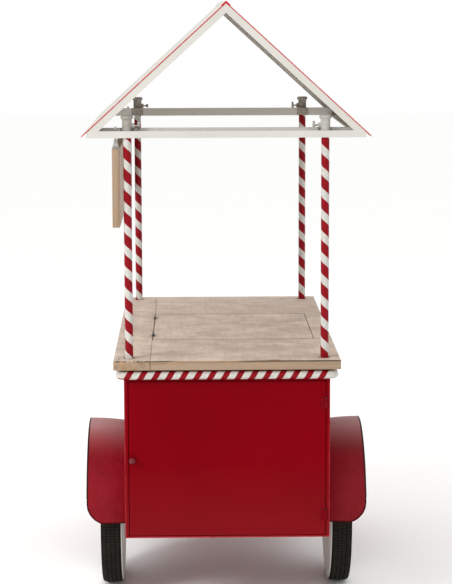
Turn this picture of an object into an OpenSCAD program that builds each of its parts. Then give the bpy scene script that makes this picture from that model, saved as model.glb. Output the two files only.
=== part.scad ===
/* [Worktop] */
// Width of the worktop, side to side
top_w = 730; // [700:5:900]
// Length of the worktop, from the door end to the handle end
top_l = 1420; // [1250:10:1750]
// Thickness of the worktop boards
top_t = 30; // [24:1:40]
// Height of the worktop's upper face above the ground
top_z = 850; // [700:5:1020]
// Width of the long board on the lid's hinge side
side_board_w = 118; // [100:1:140]
// Length of the planked row between the door end and the lid
near_row_l = 415; // [330:5:450]
// Number of planks in each planked row
row_planks = 3; // [2:1:4]
// Gap between neighbouring boards
board_gap = 0.8; // [0.4:0.1:0.9]
// How far the worktop stands out past the cabinet, all round
overhang = 32.5; // [30:0.5:40]
// Thickness of the battens under the planked rows
batten_t = 15; // [10:1:20]
// Width of the battens under the planked rows
batten_w = 40; // [30:1:60]

/* [Lid and bin] */
// Width of the lid opening
lid_w = 550; // [450:5:555]
// Length of the lid opening
lid_l = 560; // [450:5:620]
// Gap between the lid and the boards round it
lid_gap = 2.5; // [2:0.1:4]
// Depth of the bin below the worktop
bin_depth = 200; // [120:5:230]
// Wall of the bin
bin_wall = 2; // [1.5:0.5:3]
// Width of the ledge that carries the lid
ledge_w = 12; // [10:1:16]
// Width of the bin's rim outside the lid opening
rim_w = 7; // [5:0.5:7]

/* [Cabinet] */
// Height of the cabinet's lower edge above the axle, negative if it is lower
cab_rise = -2; // [-8:1:20]
// Thickness of the cabinet's sheet steel
wall = 2; // [1.5:0.1:2.4]
// Width of the flange that the worktop is screwed to
flange_w = 20; // [16:1:22]
// Height of the shelf above the ground
shelf_z = 520; // [420:5:560]
// Leg of the angle iron in the chassis
chassis_leg = 30; // [26:1:36]
// Thickness of the angle iron in the chassis
chassis_t = 3; // [2:0.5:4]
// Gap between the cabinet's lower edge and the chassis
chassis_lift = 15; // [13:1:20]

/* [Door] */
// Margin of the door frame beside the door
door_side = 10; // [8:0.5:14]
// Margin of the door frame above the door
door_top = 44; // [34:1:60]
// Margin of the door frame below the door
door_foot = 8; // [6:1:20]
// Depth of the door
door_t = 10; // [8:0.5:12]
// Gap round the door
door_gap = 2.5; // [1.5:0.1:3]
// Width of the lip that the door closes against
stop_w = 12; // [8:1:16]
// Height of the door hinges
door_hinge_l = 35; // [30:1:60]
// Distance of the upper hinge below the door's upper edge
hinge_drop = 72; // [50:1:120]
// Distance of the lower hinge above the door's lower edge
hinge_rise = 66; // [50:1:120]
// Diameter of the door knob
knob_d = 23; // [18:1:30]
// Height of the door knob above the ground
knob_z = 521; // [460:1:580]

/* [Rail and poles] */
// Diameter of the striped poles
pole_d = 26; // [21:0.5:32]
// Wall of the striped poles
pole_wall = 1.5; // [1:0.25:2.5]
// Gap between the pole sockets and the door frame
pole_gap = 0.15; // [0.15:0.05:15]
// Gap round the poles in the boards
pole_hole_gap = 6; // [4:0.5:7]
// Depth of the sockets that hold the poles
socket_l = 150; // [100:5:200]
// Diameter of the striped rail
rail_d = 26; // [20:0.5:30]
// Height of the rail's axis below the boards
rail_drop = 20; // [18:0.5:24]

/* [Canopy] */
// Height of the canopy frame's lower edge above the ground
canopy_z = 1560; // [1300:5:1800]
// How far the canopy frame stands out past the worktop at each side
canopy_over = 79.5; // [70:0.5:130]
// Height of the canopy frame, from its lower edge to its apex
canopy_rise = 422; // [360:1:520]
// Height of the upright ends of the tie bars
eave_h = 16; // [14:0.5:18]
// Leg of the angle iron in the gables
gable_leg = 22; // [20:0.5:23]
// Thickness of the angle iron in the canopy
gable_t = 3; // [2:0.5:4]
// Leg of the angle iron in the eaves and the ridge
eave_leg = 25; // [20:1:30]
// Thickness of the roof sheets
roof_t = 3; // [2:0.5:4]
// How far the roof sheets stand out past the frame at the eaves
roof_eave = 15.5; // [10:0.5:25]
// Leg of the ridge cap
cap_leg = 19; // [15:0.5:24]
// Thickness of the ridge cap
cap_t = 6; // [4:0.5:8]
// Height of the cross bars that carry the sleeves
cross_h = 27; // [24:0.5:30]
// Depth of the cross bars
cross_w = 18; // [14:0.5:20]
// Height of the sleeves above the tie bars' flange
sleeve_l = 63; // [58:0.5:80]
// Wall of the sleeves
sleeve_wall = 2; // [1.5:0.25:3]
// Wall of the collars on the sleeves
collar_wall = 4.65; // [3:0.05:8]
// Height of the collars
collar_h = 13; // [10:0.5:16]

/* [Sign board] */
// Height of the sign board
sign_h = 250; // [150:5:300]
// Thickness of the sign board
sign_t = 24; // [16:1:24]
// How far the sign board reaches past the poles' axes
sign_past = 18; // [10:1:24]
// Gap between the sign board and the poles
sign_clear = 11.5; // [10:0.5:16]
// Distance from the pivot down to the sign board
sign_drop = 26; // [22:1:40]

/* [Wheels] */
// Diameter of the wheels
wheel_d = 524; // [430:2:640]
// Width of the wheels
wheel_w = 70; // [56:1:72]
// Gap between the cabinet and the wheels
wheel_clear = 18.5; // [16:0.5:22]
// Distance from the door end of the worktop to the axle
wheel_back = 460; // [380:5:600]
// Thickness of the rubber tread
tread_t = 12; // [10:0.5:16]
// Diameter of the axle
axle_d = 20; // [16:0.5:24]
// Outer diameter of the wheel bushes
bush_d = 26; // [24:0.5:30]
// Diameter of the wheel hubs
hub_d = 50; // [40:1:50]
// Diameter of the hub caps
cap_d = 62; // [58:1:80]

/* [Fenders] */
// Distance from the tread to the fenders' outer surface
fender_gap = 32; // [28:1:50]
// Height of the fenders' centre above the wheels' centre
fender_up = 10; // [6:1:20]
// Width of the fenders
fender_w = 133.5; // [120:0.5:140]
// How much lower the fenders are at the cabinet than at their outer edge
fender_crown = 10; // [0:1:16]
// Thickness of the fenders' sheet steel
fender_t = 1.5; // [1:0.25:2.5]
// Radius of the fenders' lower outer corners
fender_corner = 75; // [50:1:90]
// Diameter of the rolled edge of the fenders
roll_d = 6; // [4:0.5:8]

/* [Legs and handle] */
// Side of the leg tubes
leg_w = 30; // [25:1:35]
// Wall of the leg tubes
leg_wall = 2; // [1.5:0.5:3]
// Distance of the legs from the cabinet's far end
leg_in = 60; // [40:5:120]
// Height of the rubber feet
foot_h = 20; // [15:1:30]
// Height of the stretcher between the legs
stretcher_z = 110; // [60:5:180]
// Diameter of the push handle
handle_d = 25; // [20:0.5:30]
// How far the push handle stands out past the worktop
handle_out = 130; // [110:5:180]
// Height of the push handle above the ground
handle_z = 740; // [640:5:760]
// Distance between the arms of the push handle
handle_span = 460; // [400:5:520]
// Length of the grip
grip_l = 300; // [200:5:320]

/* [Fits] */
// Clearance between faces that only just miss each other
seat = 0.3; // [0.2:0.05:0.4]
// Radial clearance of pins, bushes and axles
running = 0.05; // [0.02:0.01:0.08]
// Radial clearance of the poles in their sockets and sleeves
slip = 0.35; // [0.3:0.05:0.4]

/* [Hidden] */
$fn = 64;
big = 4000;
red = "#8c0a1c";
white = "#e4e1da";
timber = "#c2a68a";
steel = "#9a9a98";
black = "#1b1a18";

// Ends of the cart: door end near, handle end far
near_y = -(top_l + handle_out) / 2;
far_y = near_y + top_l;
half_w = top_w / 2;
under_z = top_z - top_t;
cab_half = half_w - overhang;
cab_near = near_y + overhang;
cab_far = far_y - overhang;
inner_half = cab_half - wall;

wheel_r = wheel_d / 2;
cab_bottom = wheel_r + cab_rise;
stop_t = 2;
frame_depth = door_t + seat + stop_t;

// Poles and the parts round them
pole_r = pole_d / 2;
socket_r = pole_r + slip + 1.7;
pole_x = inner_half - socket_r - seat;
pole_near = cab_near + frame_depth + pole_gap + socket_r;
pole_far = near_y + far_y - pole_near;
pole_hole_r = pole_r + pole_hole_gap;
socket_top = under_z - wall - seat;
socket_floor = 3;
rail_r = rail_d / 2;
rail_z = under_z - rail_drop;
rail_off = rail_r + seat;
rail_bend = rail_r + 0.8;

// Lid opening
lid_x0 = side_board_w - half_w;
lid_x1 = lid_x0 + lid_w;
lid_y0 = near_y + near_row_l;
lid_y1 = lid_y0 + lid_l;
rim_t = 3;
lid_axis_x = lid_x0 + lid_gap / 2;
knuckle_r = 4;
pin_r = 2;
lid_axis_z = top_z + knuckle_r + seat;
lid_hinge_l = 60;
lid_hinge_in = 92;
lid_hinge_drop = 22;
lid_leaf_t = (lid_gap - seat) / 2;

// Door
strike_t = 1.5;
strike_w = 14;
door_lip = stop_w + strike_w + 4;
door_x0 = door_side + wall + door_gap - cab_half;
door_x1 = -door_x0;
door_z0 = cab_bottom + door_foot;
door_z1 = under_z - door_top;
door_sheet = 1.5;
door_leaf_t = 2;
door_leaf_w = 17;
frame_leaf_w = 7;
door_axis_x = door_x1 + door_gap / 2;
door_axis_y = cab_near - knuckle_r - seat;
hinge_zs = [door_z1 - hinge_drop, door_z0 + hinge_rise];
knob_x = door_x0 + knob_d / 2 + 0.5;
knob_neck = 10;
strike_x0 = door_x0 + stop_w + 1;

// Chassis, legs and handle
chassis_z0 = cab_bottom + chassis_lift;
chassis_z1 = chassis_z0 + chassis_leg;
chassis_x = inner_half - seat;
chassis_near = cab_near + frame_depth + seat;
chassis_far = cab_far - wall - seat;
leg_x = chassis_x - chassis_t - leg_w / 2;
leg_y = cab_far - leg_in;
handle_r = handle_d / 2;
grip_wall = 3;
handle_bend = 40;
handle_x = handle_span / 2;
handle_end = far_y + handle_out - handle_r - grip_wall;
plate_t = 4;
plate_half = 30;
bolt_r = 3;
bolt_pitch = 21;

// Wheels, axle and fenders
wheel_y = near_y + wheel_back;
wheel_in = cab_half + wheel_clear;
wheel_out = wheel_in + wheel_w;
axle_r = axle_d / 2;
disc_t = 3;
rim_r = wheel_r - tread_t;
outer_disc_x = wheel_out - 20;
hub_in = wheel_in - 5;
hub_out = wheel_out + 3;
axle_end = hub_out + 20;
bracket_t = 6;
fender_z = wheel_r + fender_up;
fender_r = wheel_r + fender_gap;
fender_out = cab_half + fender_w;
flange_h = 22;
fender_bolts = [for (a = [20 : 35 : 160]) a];
fender_bolt_r = fender_r - fender_crown - fender_t - flange_h / 2;
fender_steps = 8;

// Canopy
canopy_half = half_w + canopy_over;
canopy_apex = canopy_z + canopy_rise;
eave_z = canopy_z + eave_h;
roof_gap = 0.1;
pitch = atan((canopy_apex - eave_z) / canopy_half);
sleeve_r = pole_r + slip + sleeve_wall;
gable_face = sleeve_r + seat + gable_t;
tie_depth = gable_leg - gable_face;
cross_z0 = canopy_z + gable_t;
cross_z1 = cross_z0 + cross_h;
cross_half = (canopy_apex - cross_z1 - 2) / tan(pitch);
sleeve_top = cross_z0 + sleeve_l;
collar_z0 = sleeve_top - 8;
collar_z1 = collar_z0 + collar_h;
pole_top = sleeve_top;
boss_r = 8;
boss_l = sleeve_r + 7.65;
wing_z = cross_z1 + boss_r;
wing_reach = boss_l + 18;
wing_span = sleeve_r + seat - 1.45;
screw_r = 3;
thread_gap = 0.08;
lift = 0.7 * sleeve_l;

// Sign board
sign_x = -(pole_x + pole_r + sign_clear + sign_t / 2);
sign_axis_z = canopy_z - 9;
sign_top = sign_axis_z - sign_drop;
sign_y0 = pole_near - sign_past;
sign_y1 = pole_far + sign_past;
eye_r = 6.5;
eye_t = 4;
eye_pin_r = 2.5;
hanger_r = 4.5;
eye_shift = 6;
eye_ys = [pole_near - eye_shift, pole_far + eye_shift];

// A block between two corners
module block(a, b) {
  translate(a)
    cube(b - a);
}

// Round bars along each axis, from one end to the other
module rod_x(x0, x1, y, z, r) {
  translate([x0, y, z])
    rotate([0, 90, 0])
      cylinder(h = x1 - x0, r = r);
}
module rod_y(x, y0, y1, z, r) {
  translate([x, y1, z])
    rotate([90, 0, 0])
      cylinder(h = y1 - y0, r = r);
}
module rod_z(x, y, z0, z1, r) {
  translate([x, y, z0])
    cylinder(h = z1 - z0, r = r);
}

// The children and their mirror image across the cart
module both_sides() {
  children();
  mirror([1, 0, 0])
    children();
}

// The children at each of the four poles
module at_poles() {
  for (x = [-pole_x, pole_x], y = [pole_near, pole_far])
    translate([x, y, 0])
      children();
}

// ---- Running gear ----

module chassis() {
  color(red)
    difference() {
      union() {
        both_sides() {
          block([chassis_x - chassis_t, chassis_near, chassis_z0], [chassis_x, chassis_far, chassis_z1]);
          block([chassis_x - chassis_leg, chassis_near, chassis_z1 - chassis_t],
                [chassis_x, chassis_far, chassis_z1]);
          block([chassis_x - chassis_t - bracket_t, wheel_y - 45, wheel_r - axle_r - 14],
                [chassis_x - chassis_t, wheel_y + 45, chassis_z1 - chassis_t]);
        }
        for (y = [chassis_near, wheel_y - chassis_leg / 2, chassis_far - chassis_leg])
          cross_member(y);
      }
      rod_x(-cab_half, cab_half, wheel_y, wheel_r, axle_r + running);
    }
}

// An angle iron across the chassis
module cross_member(y) {
  block([-chassis_x, y, chassis_z1 - chassis_t], [chassis_x, y + chassis_leg, chassis_z1]);
  block([-chassis_x + chassis_t, y, chassis_z0], [chassis_x - chassis_t, y + chassis_t, chassis_z1]);
}

module axle() {
  color(steel)
    rod_x(-axle_end, axle_end, wheel_y, wheel_r, axle_r);
}

// A ring on the axle
module axle_ring(x0, x1, r) {
  difference() {
    rod_x(x0, x1, wheel_y, wheel_r, r);
    rod_x(x0 - 1, x1 + 1, wheel_y, wheel_r, axle_r + running);
  }
}

module axle_spacers() {
  color(steel)
    both_sides()
      axle_ring(cab_half + seat, hub_in - seat, axle_r + 7);
}

module axle_end_fasteners() {
  washer_t = 3;
  nut_t = 12;
  color(steel)
    both_sides() {
      axle_ring(hub_out + seat, hub_out + seat + washer_t, axle_r + 7);
      translate([hub_out + seat + washer_t, wheel_y, wheel_r])
        rotate([0, 90, 0])
          difference() {
            cylinder(h = nut_t, r = axle_r * 1.55, $fn = 6);
            translate([0, 0, -1])
              cylinder(h = nut_t + 2, r = axle_r + running);
          }
    }
}

// Spins a profile of [distance along the axle, radius] round the axle, at the +X side
module spun_on_axle() {
  translate([0, wheel_y, wheel_r])
    rotate([0, 90, 0])
      rotate([0, 0, 90])
        rotate_extrude()
          rotate([0, 0, 90])
            mirror([0, 1, 0])
              children();
}

// The tread: a thick rubber band with a rounded outer shoulder and three grooves
module one_tyre() {
  shoulder = 10;
  groove_w = 3;
  groove_d = 2.5;
  x0 = wheel_in + disc_t + seat;
  color(black)
    spun_on_axle()
      difference() {
        union() {
          translate([x0, rim_r])
            square([wheel_out - shoulder - x0, tread_t]);
          translate([x0, rim_r])
            square([wheel_out - x0, tread_t - shoulder]);
          intersection() {
            translate([wheel_out - shoulder, wheel_r - shoulder])
              circle(r = shoulder);
            translate([x0, rim_r])
              square([wheel_w, tread_t + 1]);
          }
        }
        for (u = [0.25, 0.5, 0.75])
          translate([x0 + u * (wheel_out - shoulder - x0) - groove_w / 2, wheel_r - groove_d])
            square([groove_w, groove_d + 1]);
      }
}

module left_tyre() {
  mirror([1, 0, 0])
    one_tyre();
}

module right_tyre() {
  one_tyre();
}

// The wheel: hub, flat inner disc, rim drum and recessed outer disc, welded together
module one_wheel() {
  color(white)
    spun_on_axle()
      union() {
        translate([hub_in, bush_d / 2 + running])
          square([hub_out - hub_in, (hub_d - bush_d) / 2 - running]);
        translate([wheel_in, bush_d / 2 + running])
          square([disc_t, wheel_r - tread_t / 2 - bush_d / 2 - running]);
        translate([wheel_in, rim_r - running - disc_t])
          square([wheel_w, disc_t]);
        translate([outer_disc_x - disc_t, bush_d / 2 + running])
          square([disc_t, rim_r - running - bush_d / 2 - running]);
      }
}

module left_wheel() {
  mirror([1, 0, 0])
    one_wheel();
}

module right_wheel() {
  one_wheel();
}

module one_bush() {
  color("peru")
    spun_on_axle()
      translate([hub_in, axle_r + running])
        square([hub_out - hub_in, bush_d / 2 - axle_r - running]);
}

module left_bush() {
  mirror([1, 0, 0])
    one_bush();
}

module right_bush() {
  one_bush();
}

// A pressed cap over the axle's end nut
module one_hub_cap() {
  cap_wall = 2;
  cap_len = axle_end + 6 - outer_disc_x;
  color(white)
    spun_on_axle()
      difference() {
        union() {
          translate([outer_disc_x, 0])
            square([cap_len - 8, cap_d / 2]);
          intersection() {
            translate([outer_disc_x + cap_len - 8, 0])
              circle(r = cap_d / 2);
            translate([outer_disc_x, 0])
              square([cap_len, cap_d / 2]);
          }
        }
        translate([outer_disc_x - 1, -1])
          square([cap_len - cap_wall - 1, cap_d / 2 - cap_wall + 1]);
      }
}

module left_hub_cap() {
  mirror([1, 0, 0])
    one_hub_cap();
}

module right_hub_cap() {
  one_hub_cap();
}

// ---- Fenders ----

// The curved strip of the fender, as points of [distance from the cabinet, radius]
function fender_drop(u) = fender_crown * pow(1 - u, 2);
fender_strip = concat(
  [for (i = [0 : fender_steps]) let (u = i / fender_steps)
    [cab_half + u * (fender_w - roll_d / 2), fender_r - fender_drop(u)]],
  [for (i = [fender_steps : -1 : 0]) let (u = i / fender_steps)
    [cab_half + u * (fender_w - roll_d / 2), fender_r - fender_drop(u) - fender_t]]
);

// Spins a profile of [distance along X, radius] through part of a turn over the wheel
module arched(a0, a1) {
  translate([0, wheel_y, fender_z])
    rotate([0, 90, 0])
      rotate([0, 0, 90 + a0])
        rotate_extrude(angle = a1 - a0)
          rotate([0, 0, 90])
            mirror([0, 1, 0])
              children();
}

// The space outside the rounded lower corner of the fender
module fender_corner_cut() {
  cx = fender_out - fender_corner;
  cz = fender_z + fender_corner - 4;
  translate([0, wheel_y + fender_r + 10, 0])
    rotate([90, 0, 0])
      linear_extrude(2 * fender_r + 20)
        difference() {
          translate([cx, fender_z - 1])
            square([fender_corner + 10, cz - fender_z + 1]);
          translate([cx, cz])
            circle(r = fender_corner);
        }
}

module one_fender() {
  color(red)
    difference() {
      union() {
        difference() {
          arched(0, 180)
            polygon(fender_strip);
          fender_corner_cut();
        }
        arched(16, 164)
          translate([fender_out - roll_d / 2, fender_r - roll_d / 2 + 0.5])
            circle(d = roll_d);
        arched(0, 180)
          translate([cab_half, fender_r - fender_crown - fender_t - flange_h])
            square([fender_t, flange_h + fender_t / 2]);
      }
      for (a = fender_bolts)
        fender_bolt(a, bolt_r + 0.2, 20);
    }
}

module left_fender() {
  mirror([1, 0, 0])
    one_fender();
}

module right_fender() {
  one_fender();
}

// The shank of one fender screw
module fender_bolt(a, r, reach) {
  rod_x(cab_half - reach / 2, cab_half + reach / 2,
        wheel_y - fender_bolt_r * cos(a), fender_z + fender_bolt_r * sin(a), r);
}

module fender_screws() {
  color(steel)
    both_sides()
      for (a = fender_bolts) {
        y = wheel_y - fender_bolt_r * cos(a);
        z = fender_z + fender_bolt_r * sin(a);
        rod_x(cab_half - 12, cab_half + fender_t, y, z, bolt_r);
        rod_x(cab_half + fender_t, cab_half + fender_t + 4, y, z, bolt_r * 1.8);
      }
}

// ---- Legs and handle ----

module legs() {
  color(red) {
    both_sides()
      difference() {
        tube_leg(leg_w / 2, foot_h / 2, chassis_z1 - chassis_t);
        tube_leg(leg_w / 2 - leg_wall, foot_h / 2 - 1, chassis_z1);
      }
    difference() {
      stretcher_bar(0, 0);
      stretcher_bar(leg_wall, 1);
    }
  }
}

module tube_leg(h, z0, z1) {
  block([leg_x - h, leg_y - h, z0], [leg_x + h, leg_y + h, z1]);
}

module stretcher_bar(inset, past) {
  h = leg_w / 2 - 3 - inset;
  x = leg_x - leg_w / 2 + past;
  block([-x, leg_y - h, stretcher_z - h], [x, leg_y + h, stretcher_z + h]);
}

module feet() {
  foot_half = leg_w / 2 + 3;
  color(black)
    both_sides()
      difference() {
        block([leg_x - foot_half, leg_y - foot_half, 0], [leg_x + foot_half, leg_y + foot_half, foot_h]);
        block([leg_x - leg_w / 2 - seat / 2, leg_y - leg_w / 2 - seat / 2, foot_h / 2],
              [leg_x + leg_w / 2 + seat / 2, leg_y + leg_w / 2 + seat / 2, foot_h + 1]);
      }
}

// Handle arms, bends and bar, on plates against the cabinet's far wall
module push_handle() {
  color(red)
    difference() {
      union() {
        both_sides() {
          rod_y(handle_x, cab_far + plate_t / 2, handle_end - handle_bend, handle_z, handle_r);
          translate([handle_x - handle_bend, handle_end - handle_bend, handle_z])
            rotate_extrude(angle = 90)
              translate([handle_bend, 0])
                circle(r = handle_r);
          block([handle_x - plate_half, cab_far, handle_z - plate_half],
                [handle_x + plate_half, cab_far + plate_t, handle_z + plate_half]);
        }
        rod_x(handle_bend - handle_x, handle_x - handle_bend, handle_end, handle_z, handle_r);
      }
      handle_bolts(bolt_r + 0.2, 20);
    }
}

// The shanks of the handle's screws
module handle_bolts(r, reach) {
  both_sides()
    for (dx = [-bolt_pitch, bolt_pitch], dz = [-bolt_pitch, bolt_pitch])
      rod_y(handle_x + dx, cab_far - reach / 2, cab_far + reach / 2, handle_z + dz, r);
}

module handle_screws() {
  color(steel)
    both_sides()
      for (dx = [-bolt_pitch, bolt_pitch], dz = [-bolt_pitch, bolt_pitch]) {
        rod_y(handle_x + dx, cab_far - 12, cab_far + plate_t, handle_z + dz, bolt_r);
        rod_y(handle_x + dx, cab_far + plate_t, cab_far + plate_t + 4, handle_z + dz, bolt_r * 1.8);
      }
}

module handle_grip() {
  color(black)
    difference() {
      rod_x(-grip_l / 2, grip_l / 2, handle_end, handle_z, handle_r + grip_wall);
      rod_x(-grip_l, grip_l, handle_end, handle_z, handle_r + running);
    }
}

// ---- Cabinet ----

module cabinet_shell() {
  color(red)
    difference() {
      union() {
        difference() {
          block([-cab_half, cab_near, cab_bottom], [cab_half, cab_far, under_z]);
          block([-inner_half, cab_near - 1, cab_bottom - 1], [inner_half, cab_far - wall, under_z + 1]);
        }
        difference() {
          block([-cab_half, cab_near + frame_depth + seat, under_z - wall], [cab_half, cab_far, under_z]);
          block([flange_w - inner_half, cab_near, under_z - big],
                [inner_half - flange_w, cab_far - wall - flange_w, under_z + 1]);
        }
      }
      at_poles()
        rod_z(0, 0, under_z - 10, under_z + 10, pole_r + slip + 1);
      rod_x(-cab_half - 1, cab_half + 1, wheel_y, wheel_r, axle_r + 2);
      block([-cab_half - 1, wheel_y - axle_r - 2, min(cab_bottom, wheel_r) - 1],
            [cab_half + 1, wheel_y + axle_r + 2, wheel_r]);
      both_sides()
        for (a = fender_bolts)
          fender_bolt(a, bolt_r + 0.2, 20);
      handle_bolts(bolt_r + 0.2, 20);
    }
}

module cabinet_floor() {
  color(red)
    block([-chassis_x, chassis_near, chassis_z1], [chassis_x, chassis_far, chassis_z1 + wall]);
}

module shelf_brackets() {
  leg = 22;
  color(red)
    both_sides() {
      block([inner_half - wall, cab_near + 60, shelf_z - leg], [inner_half, cab_far - 60, shelf_z]);
      block([inner_half - leg, cab_near + 60, shelf_z - wall], [inner_half, cab_far - 60, shelf_z]);
    }
}

module shelf() {
  lip = 15;
  color(red) {
    block([1 - inner_half, cab_near + 70, shelf_z], [inner_half - 1, cab_far - 20, shelf_z + wall]);
    block([30 - inner_half, cab_near + 70, shelf_z - lip],
          [inner_half - 30, cab_near + 70 + wall, shelf_z + wall]);
  }
}

// The rebated frame round the door
module door_frame() {
  color(red)
    difference() {
      block([seat - inner_half, cab_near, cab_bottom], [inner_half - seat, cab_near + frame_depth, under_z]);
      block([door_x0 - door_gap, cab_near - 1, door_z0 - door_gap],
            [door_x1 + door_gap, cab_near + door_t + seat, door_z1 + door_gap]);
      block([door_x0 + stop_w, cab_near - 1, door_z0 + stop_w],
            [door_x1 - stop_w, cab_near + frame_depth + 1, door_z1 - stop_w]);
    }
}

// The door: a folded pan with a return lip
module door_panel() {
  color(red)
    difference() {
      block([door_x0, cab_near, door_z0], [door_x1, cab_near + door_t, door_z1]);
      block([door_x0 + door_sheet, cab_near + door_sheet, door_z0 + door_sheet],
            [door_x1 - door_sheet, cab_near + door_t - door_sheet, door_z1 - door_sheet]);
      block([door_x0 + door_lip, cab_near + door_sheet, door_z0 + door_lip],
            [door_x1 - door_lip, cab_near + door_t + 1, door_z1 - door_lip]);
    }
}

module door_knob() {
  color(red)
    translate([knob_x, cab_near, knob_z])
      rotate([90, 0, 0])
        union() {
          cylinder(h = knob_neck, r = knob_d / 4);
          translate([0, 0, knob_neck + knob_d / 4])
            intersection() {
              sphere(r = knob_d / 2);
              translate([0, 0, -knob_d / 4])
                cylinder(h = knob_d / 1.5, r = knob_d);
            }
        }
}

// The strike plate on the door and the magnetic catch behind it
module strike_plate() {
  color(steel)
    block([strike_x0, cab_near + door_t, knob_z - 20],
          [strike_x0 + strike_w, cab_near + door_t + strike_t, knob_z + 20]);
}

module door_catch() {
  y0 = cab_near + frame_depth + seat;
  color(black) {
    block([-inner_half, y0, knob_z - 22], [strike_x0 + strike_w, y0 + 26, knob_z + 22]);
    block([strike_x0 + 1, cab_near + door_t + strike_t + seat, knob_z - 15],
          [strike_x0 + strike_w - 1, y0, knob_z + 15]);
  }
}

// A door hinge's knuckles: the outer two or the middle one of three
module knuckles(l, outer) {
  part = l / 3;
  difference() {
    for (k = outer ? [-1, 1] : [0])
      translate([0, 0, (k - 0.5) * part + seat / 2])
        cylinder(h = part - seat, r = knuckle_r);
    translate([0, 0, -l])
      cylinder(h = 2 * l, r = pin_r + running);
  }
}

module frame_hinge_leaves() {
  part = door_hinge_l / 3;
  x1 = door_axis_x + frame_leaf_w;
  color(red)
    for (z = hinge_zs) {
      translate([door_axis_x, door_axis_y, z])
        knuckles(door_hinge_l, true);
      difference() {
        block([door_axis_x, cab_near - door_leaf_t, z - door_hinge_l / 2], [x1, cab_near, z + door_hinge_l / 2]);
        rod_z(door_axis_x, door_axis_y, z - part / 2 - seat / 2, z + part / 2 + seat / 2, knuckle_r + seat);
        block([door_axis_x - 1, cab_near - door_leaf_t - 1, z - part / 2 - seat / 2],
              [door_axis_x + door_gap / 2, cab_near + 1, z + part / 2 + seat / 2]);
        rod_z(door_axis_x, door_axis_y, z - door_hinge_l, z + door_hinge_l, pin_r + running);
      }
    }
}

module door_hinge_leaves() {
  part = door_hinge_l / 3;
  x0 = door_axis_x - door_leaf_w;
  color(red)
    for (z = hinge_zs) {
      translate([door_axis_x, door_axis_y, z])
        knuckles(door_hinge_l, false);
      difference() {
        block([x0, cab_near - door_leaf_t, z - door_hinge_l / 2],
              [door_axis_x, cab_near, z + door_hinge_l / 2]);
        for (k = [-1, 1])
          rod_z(door_axis_x, door_axis_y, z + (k - 0.5) * part - seat / 2,
                z + (k + 0.5) * part + seat / 2, knuckle_r + seat);
        block([door_axis_x - door_gap / 2, cab_near - door_leaf_t - 1, z - door_hinge_l],
              [door_axis_x + 1, cab_near + 1, z - part / 2]);
        block([door_axis_x - door_gap / 2, cab_near - door_leaf_t - 1, z + part / 2],
              [door_axis_x + 1, cab_near + 1, z + door_hinge_l]);
        rod_z(door_axis_x, door_axis_y, z - door_hinge_l, z + door_hinge_l, pin_r + running);
      }
    }
}

module door_hinge_pins() {
  color(steel)
    for (z = hinge_zs) {
      rod_z(door_axis_x, door_axis_y, z - door_hinge_l / 2, z + door_hinge_l / 2 + 1, pin_r);
      rod_z(door_axis_x, door_axis_y, z + door_hinge_l / 2, z + door_hinge_l / 2 + 1.5, knuckle_r - 0.5);
    }
}

// ---- Worktop ----

module pole_holes() {
  at_poles()
    rod_z(0, 0, under_z - 1, top_z + 1, pole_hole_r);
}

module side_board() {
  color(timber)
    difference() {
      block([-half_w, near_y, under_z], [lid_x0, far_y, top_z]);
      pole_holes();
    }
}

// A row of planks across the worktop
module plank_row(y0, y1) {
  pitch_y = (y1 - y0) / row_planks;
  color(timber)
    difference() {
      for (i = [0 : row_planks - 1])
        block([lid_x0 + board_gap, y0 + i * pitch_y, under_z],
              [half_w, y0 + (i + 1) * pitch_y - board_gap, top_z]);
      pole_holes();
    }
}

module near_planks() {
  plank_row(near_y, lid_y0 + board_gap - lid_gap / 2);
}

module far_planks() {
  plank_row(lid_y1 + lid_gap / 2, far_y + board_gap);
}

module right_strip() {
  color(timber)
    block([lid_x1 + lid_gap / 2, lid_y0 - lid_gap / 2 + board_gap, under_z],
          [half_w, lid_y1 + lid_gap / 2 - board_gap, top_z]);
}

module battens() {
  color(timber)
    for (x = [-130, 130]) {
      block([x - batten_w / 2, chassis_near + 1, under_z - batten_t],
            [x + batten_w / 2, lid_y0 - rim_w - 1, under_z]);
      block([x - batten_w / 2, lid_y1 + rim_w + 1, under_z - batten_t],
            [x + batten_w / 2, cab_far - wall - flange_w - 1, under_z]);
    }
}

// The bin under the lid: its rim is the ledge that the lid rests on
module bin() {
  x0 = lid_x0 + ledge_w;
  x1 = lid_x1 - ledge_w;
  y0 = lid_y0 + ledge_w;
  y1 = lid_y1 - ledge_w;
  color("silver")
    difference() {
      union() {
        block([lid_x0 - rim_w, lid_y0 - rim_w, under_z - rim_t], [lid_x1 + rim_w, lid_y1 + rim_w, under_z]);
        block([x0 - bin_wall, y0 - bin_wall, under_z - bin_depth], [x1 + bin_wall, y1 + bin_wall, under_z]);
      }
      block([x0, y0, under_z - bin_depth + bin_wall], [x1, y1, under_z + 1]);
    }
}

module lid_planks() {
  y0 = lid_y0 + lid_gap / 2;
  y1 = lid_y1 - lid_gap / 2;
  pitch_y = (y1 - y0 + board_gap) / row_planks;
  color(timber)
    for (i = [0 : row_planks - 1])
      block([lid_x0 + lid_gap, y0 + i * pitch_y, under_z],
            [lid_x1 - lid_gap / 2, y0 + (i + 1) * pitch_y - board_gap, top_z]);
}

module lid_battens() {
  inset = ledge_w + 8;
  color(timber)
    for (x = [lid_x0 + 90, lid_x1 - 90])
      block([x - batten_w / 2, lid_y0 + inset, under_z - batten_t], [x + batten_w / 2, lid_y1 - inset, under_z]);
}

// The two lid hinges: y is the middle of each
lid_hinge_ys = [lid_y0 + lid_hinge_in, lid_y1 - lid_hinge_in];

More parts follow.
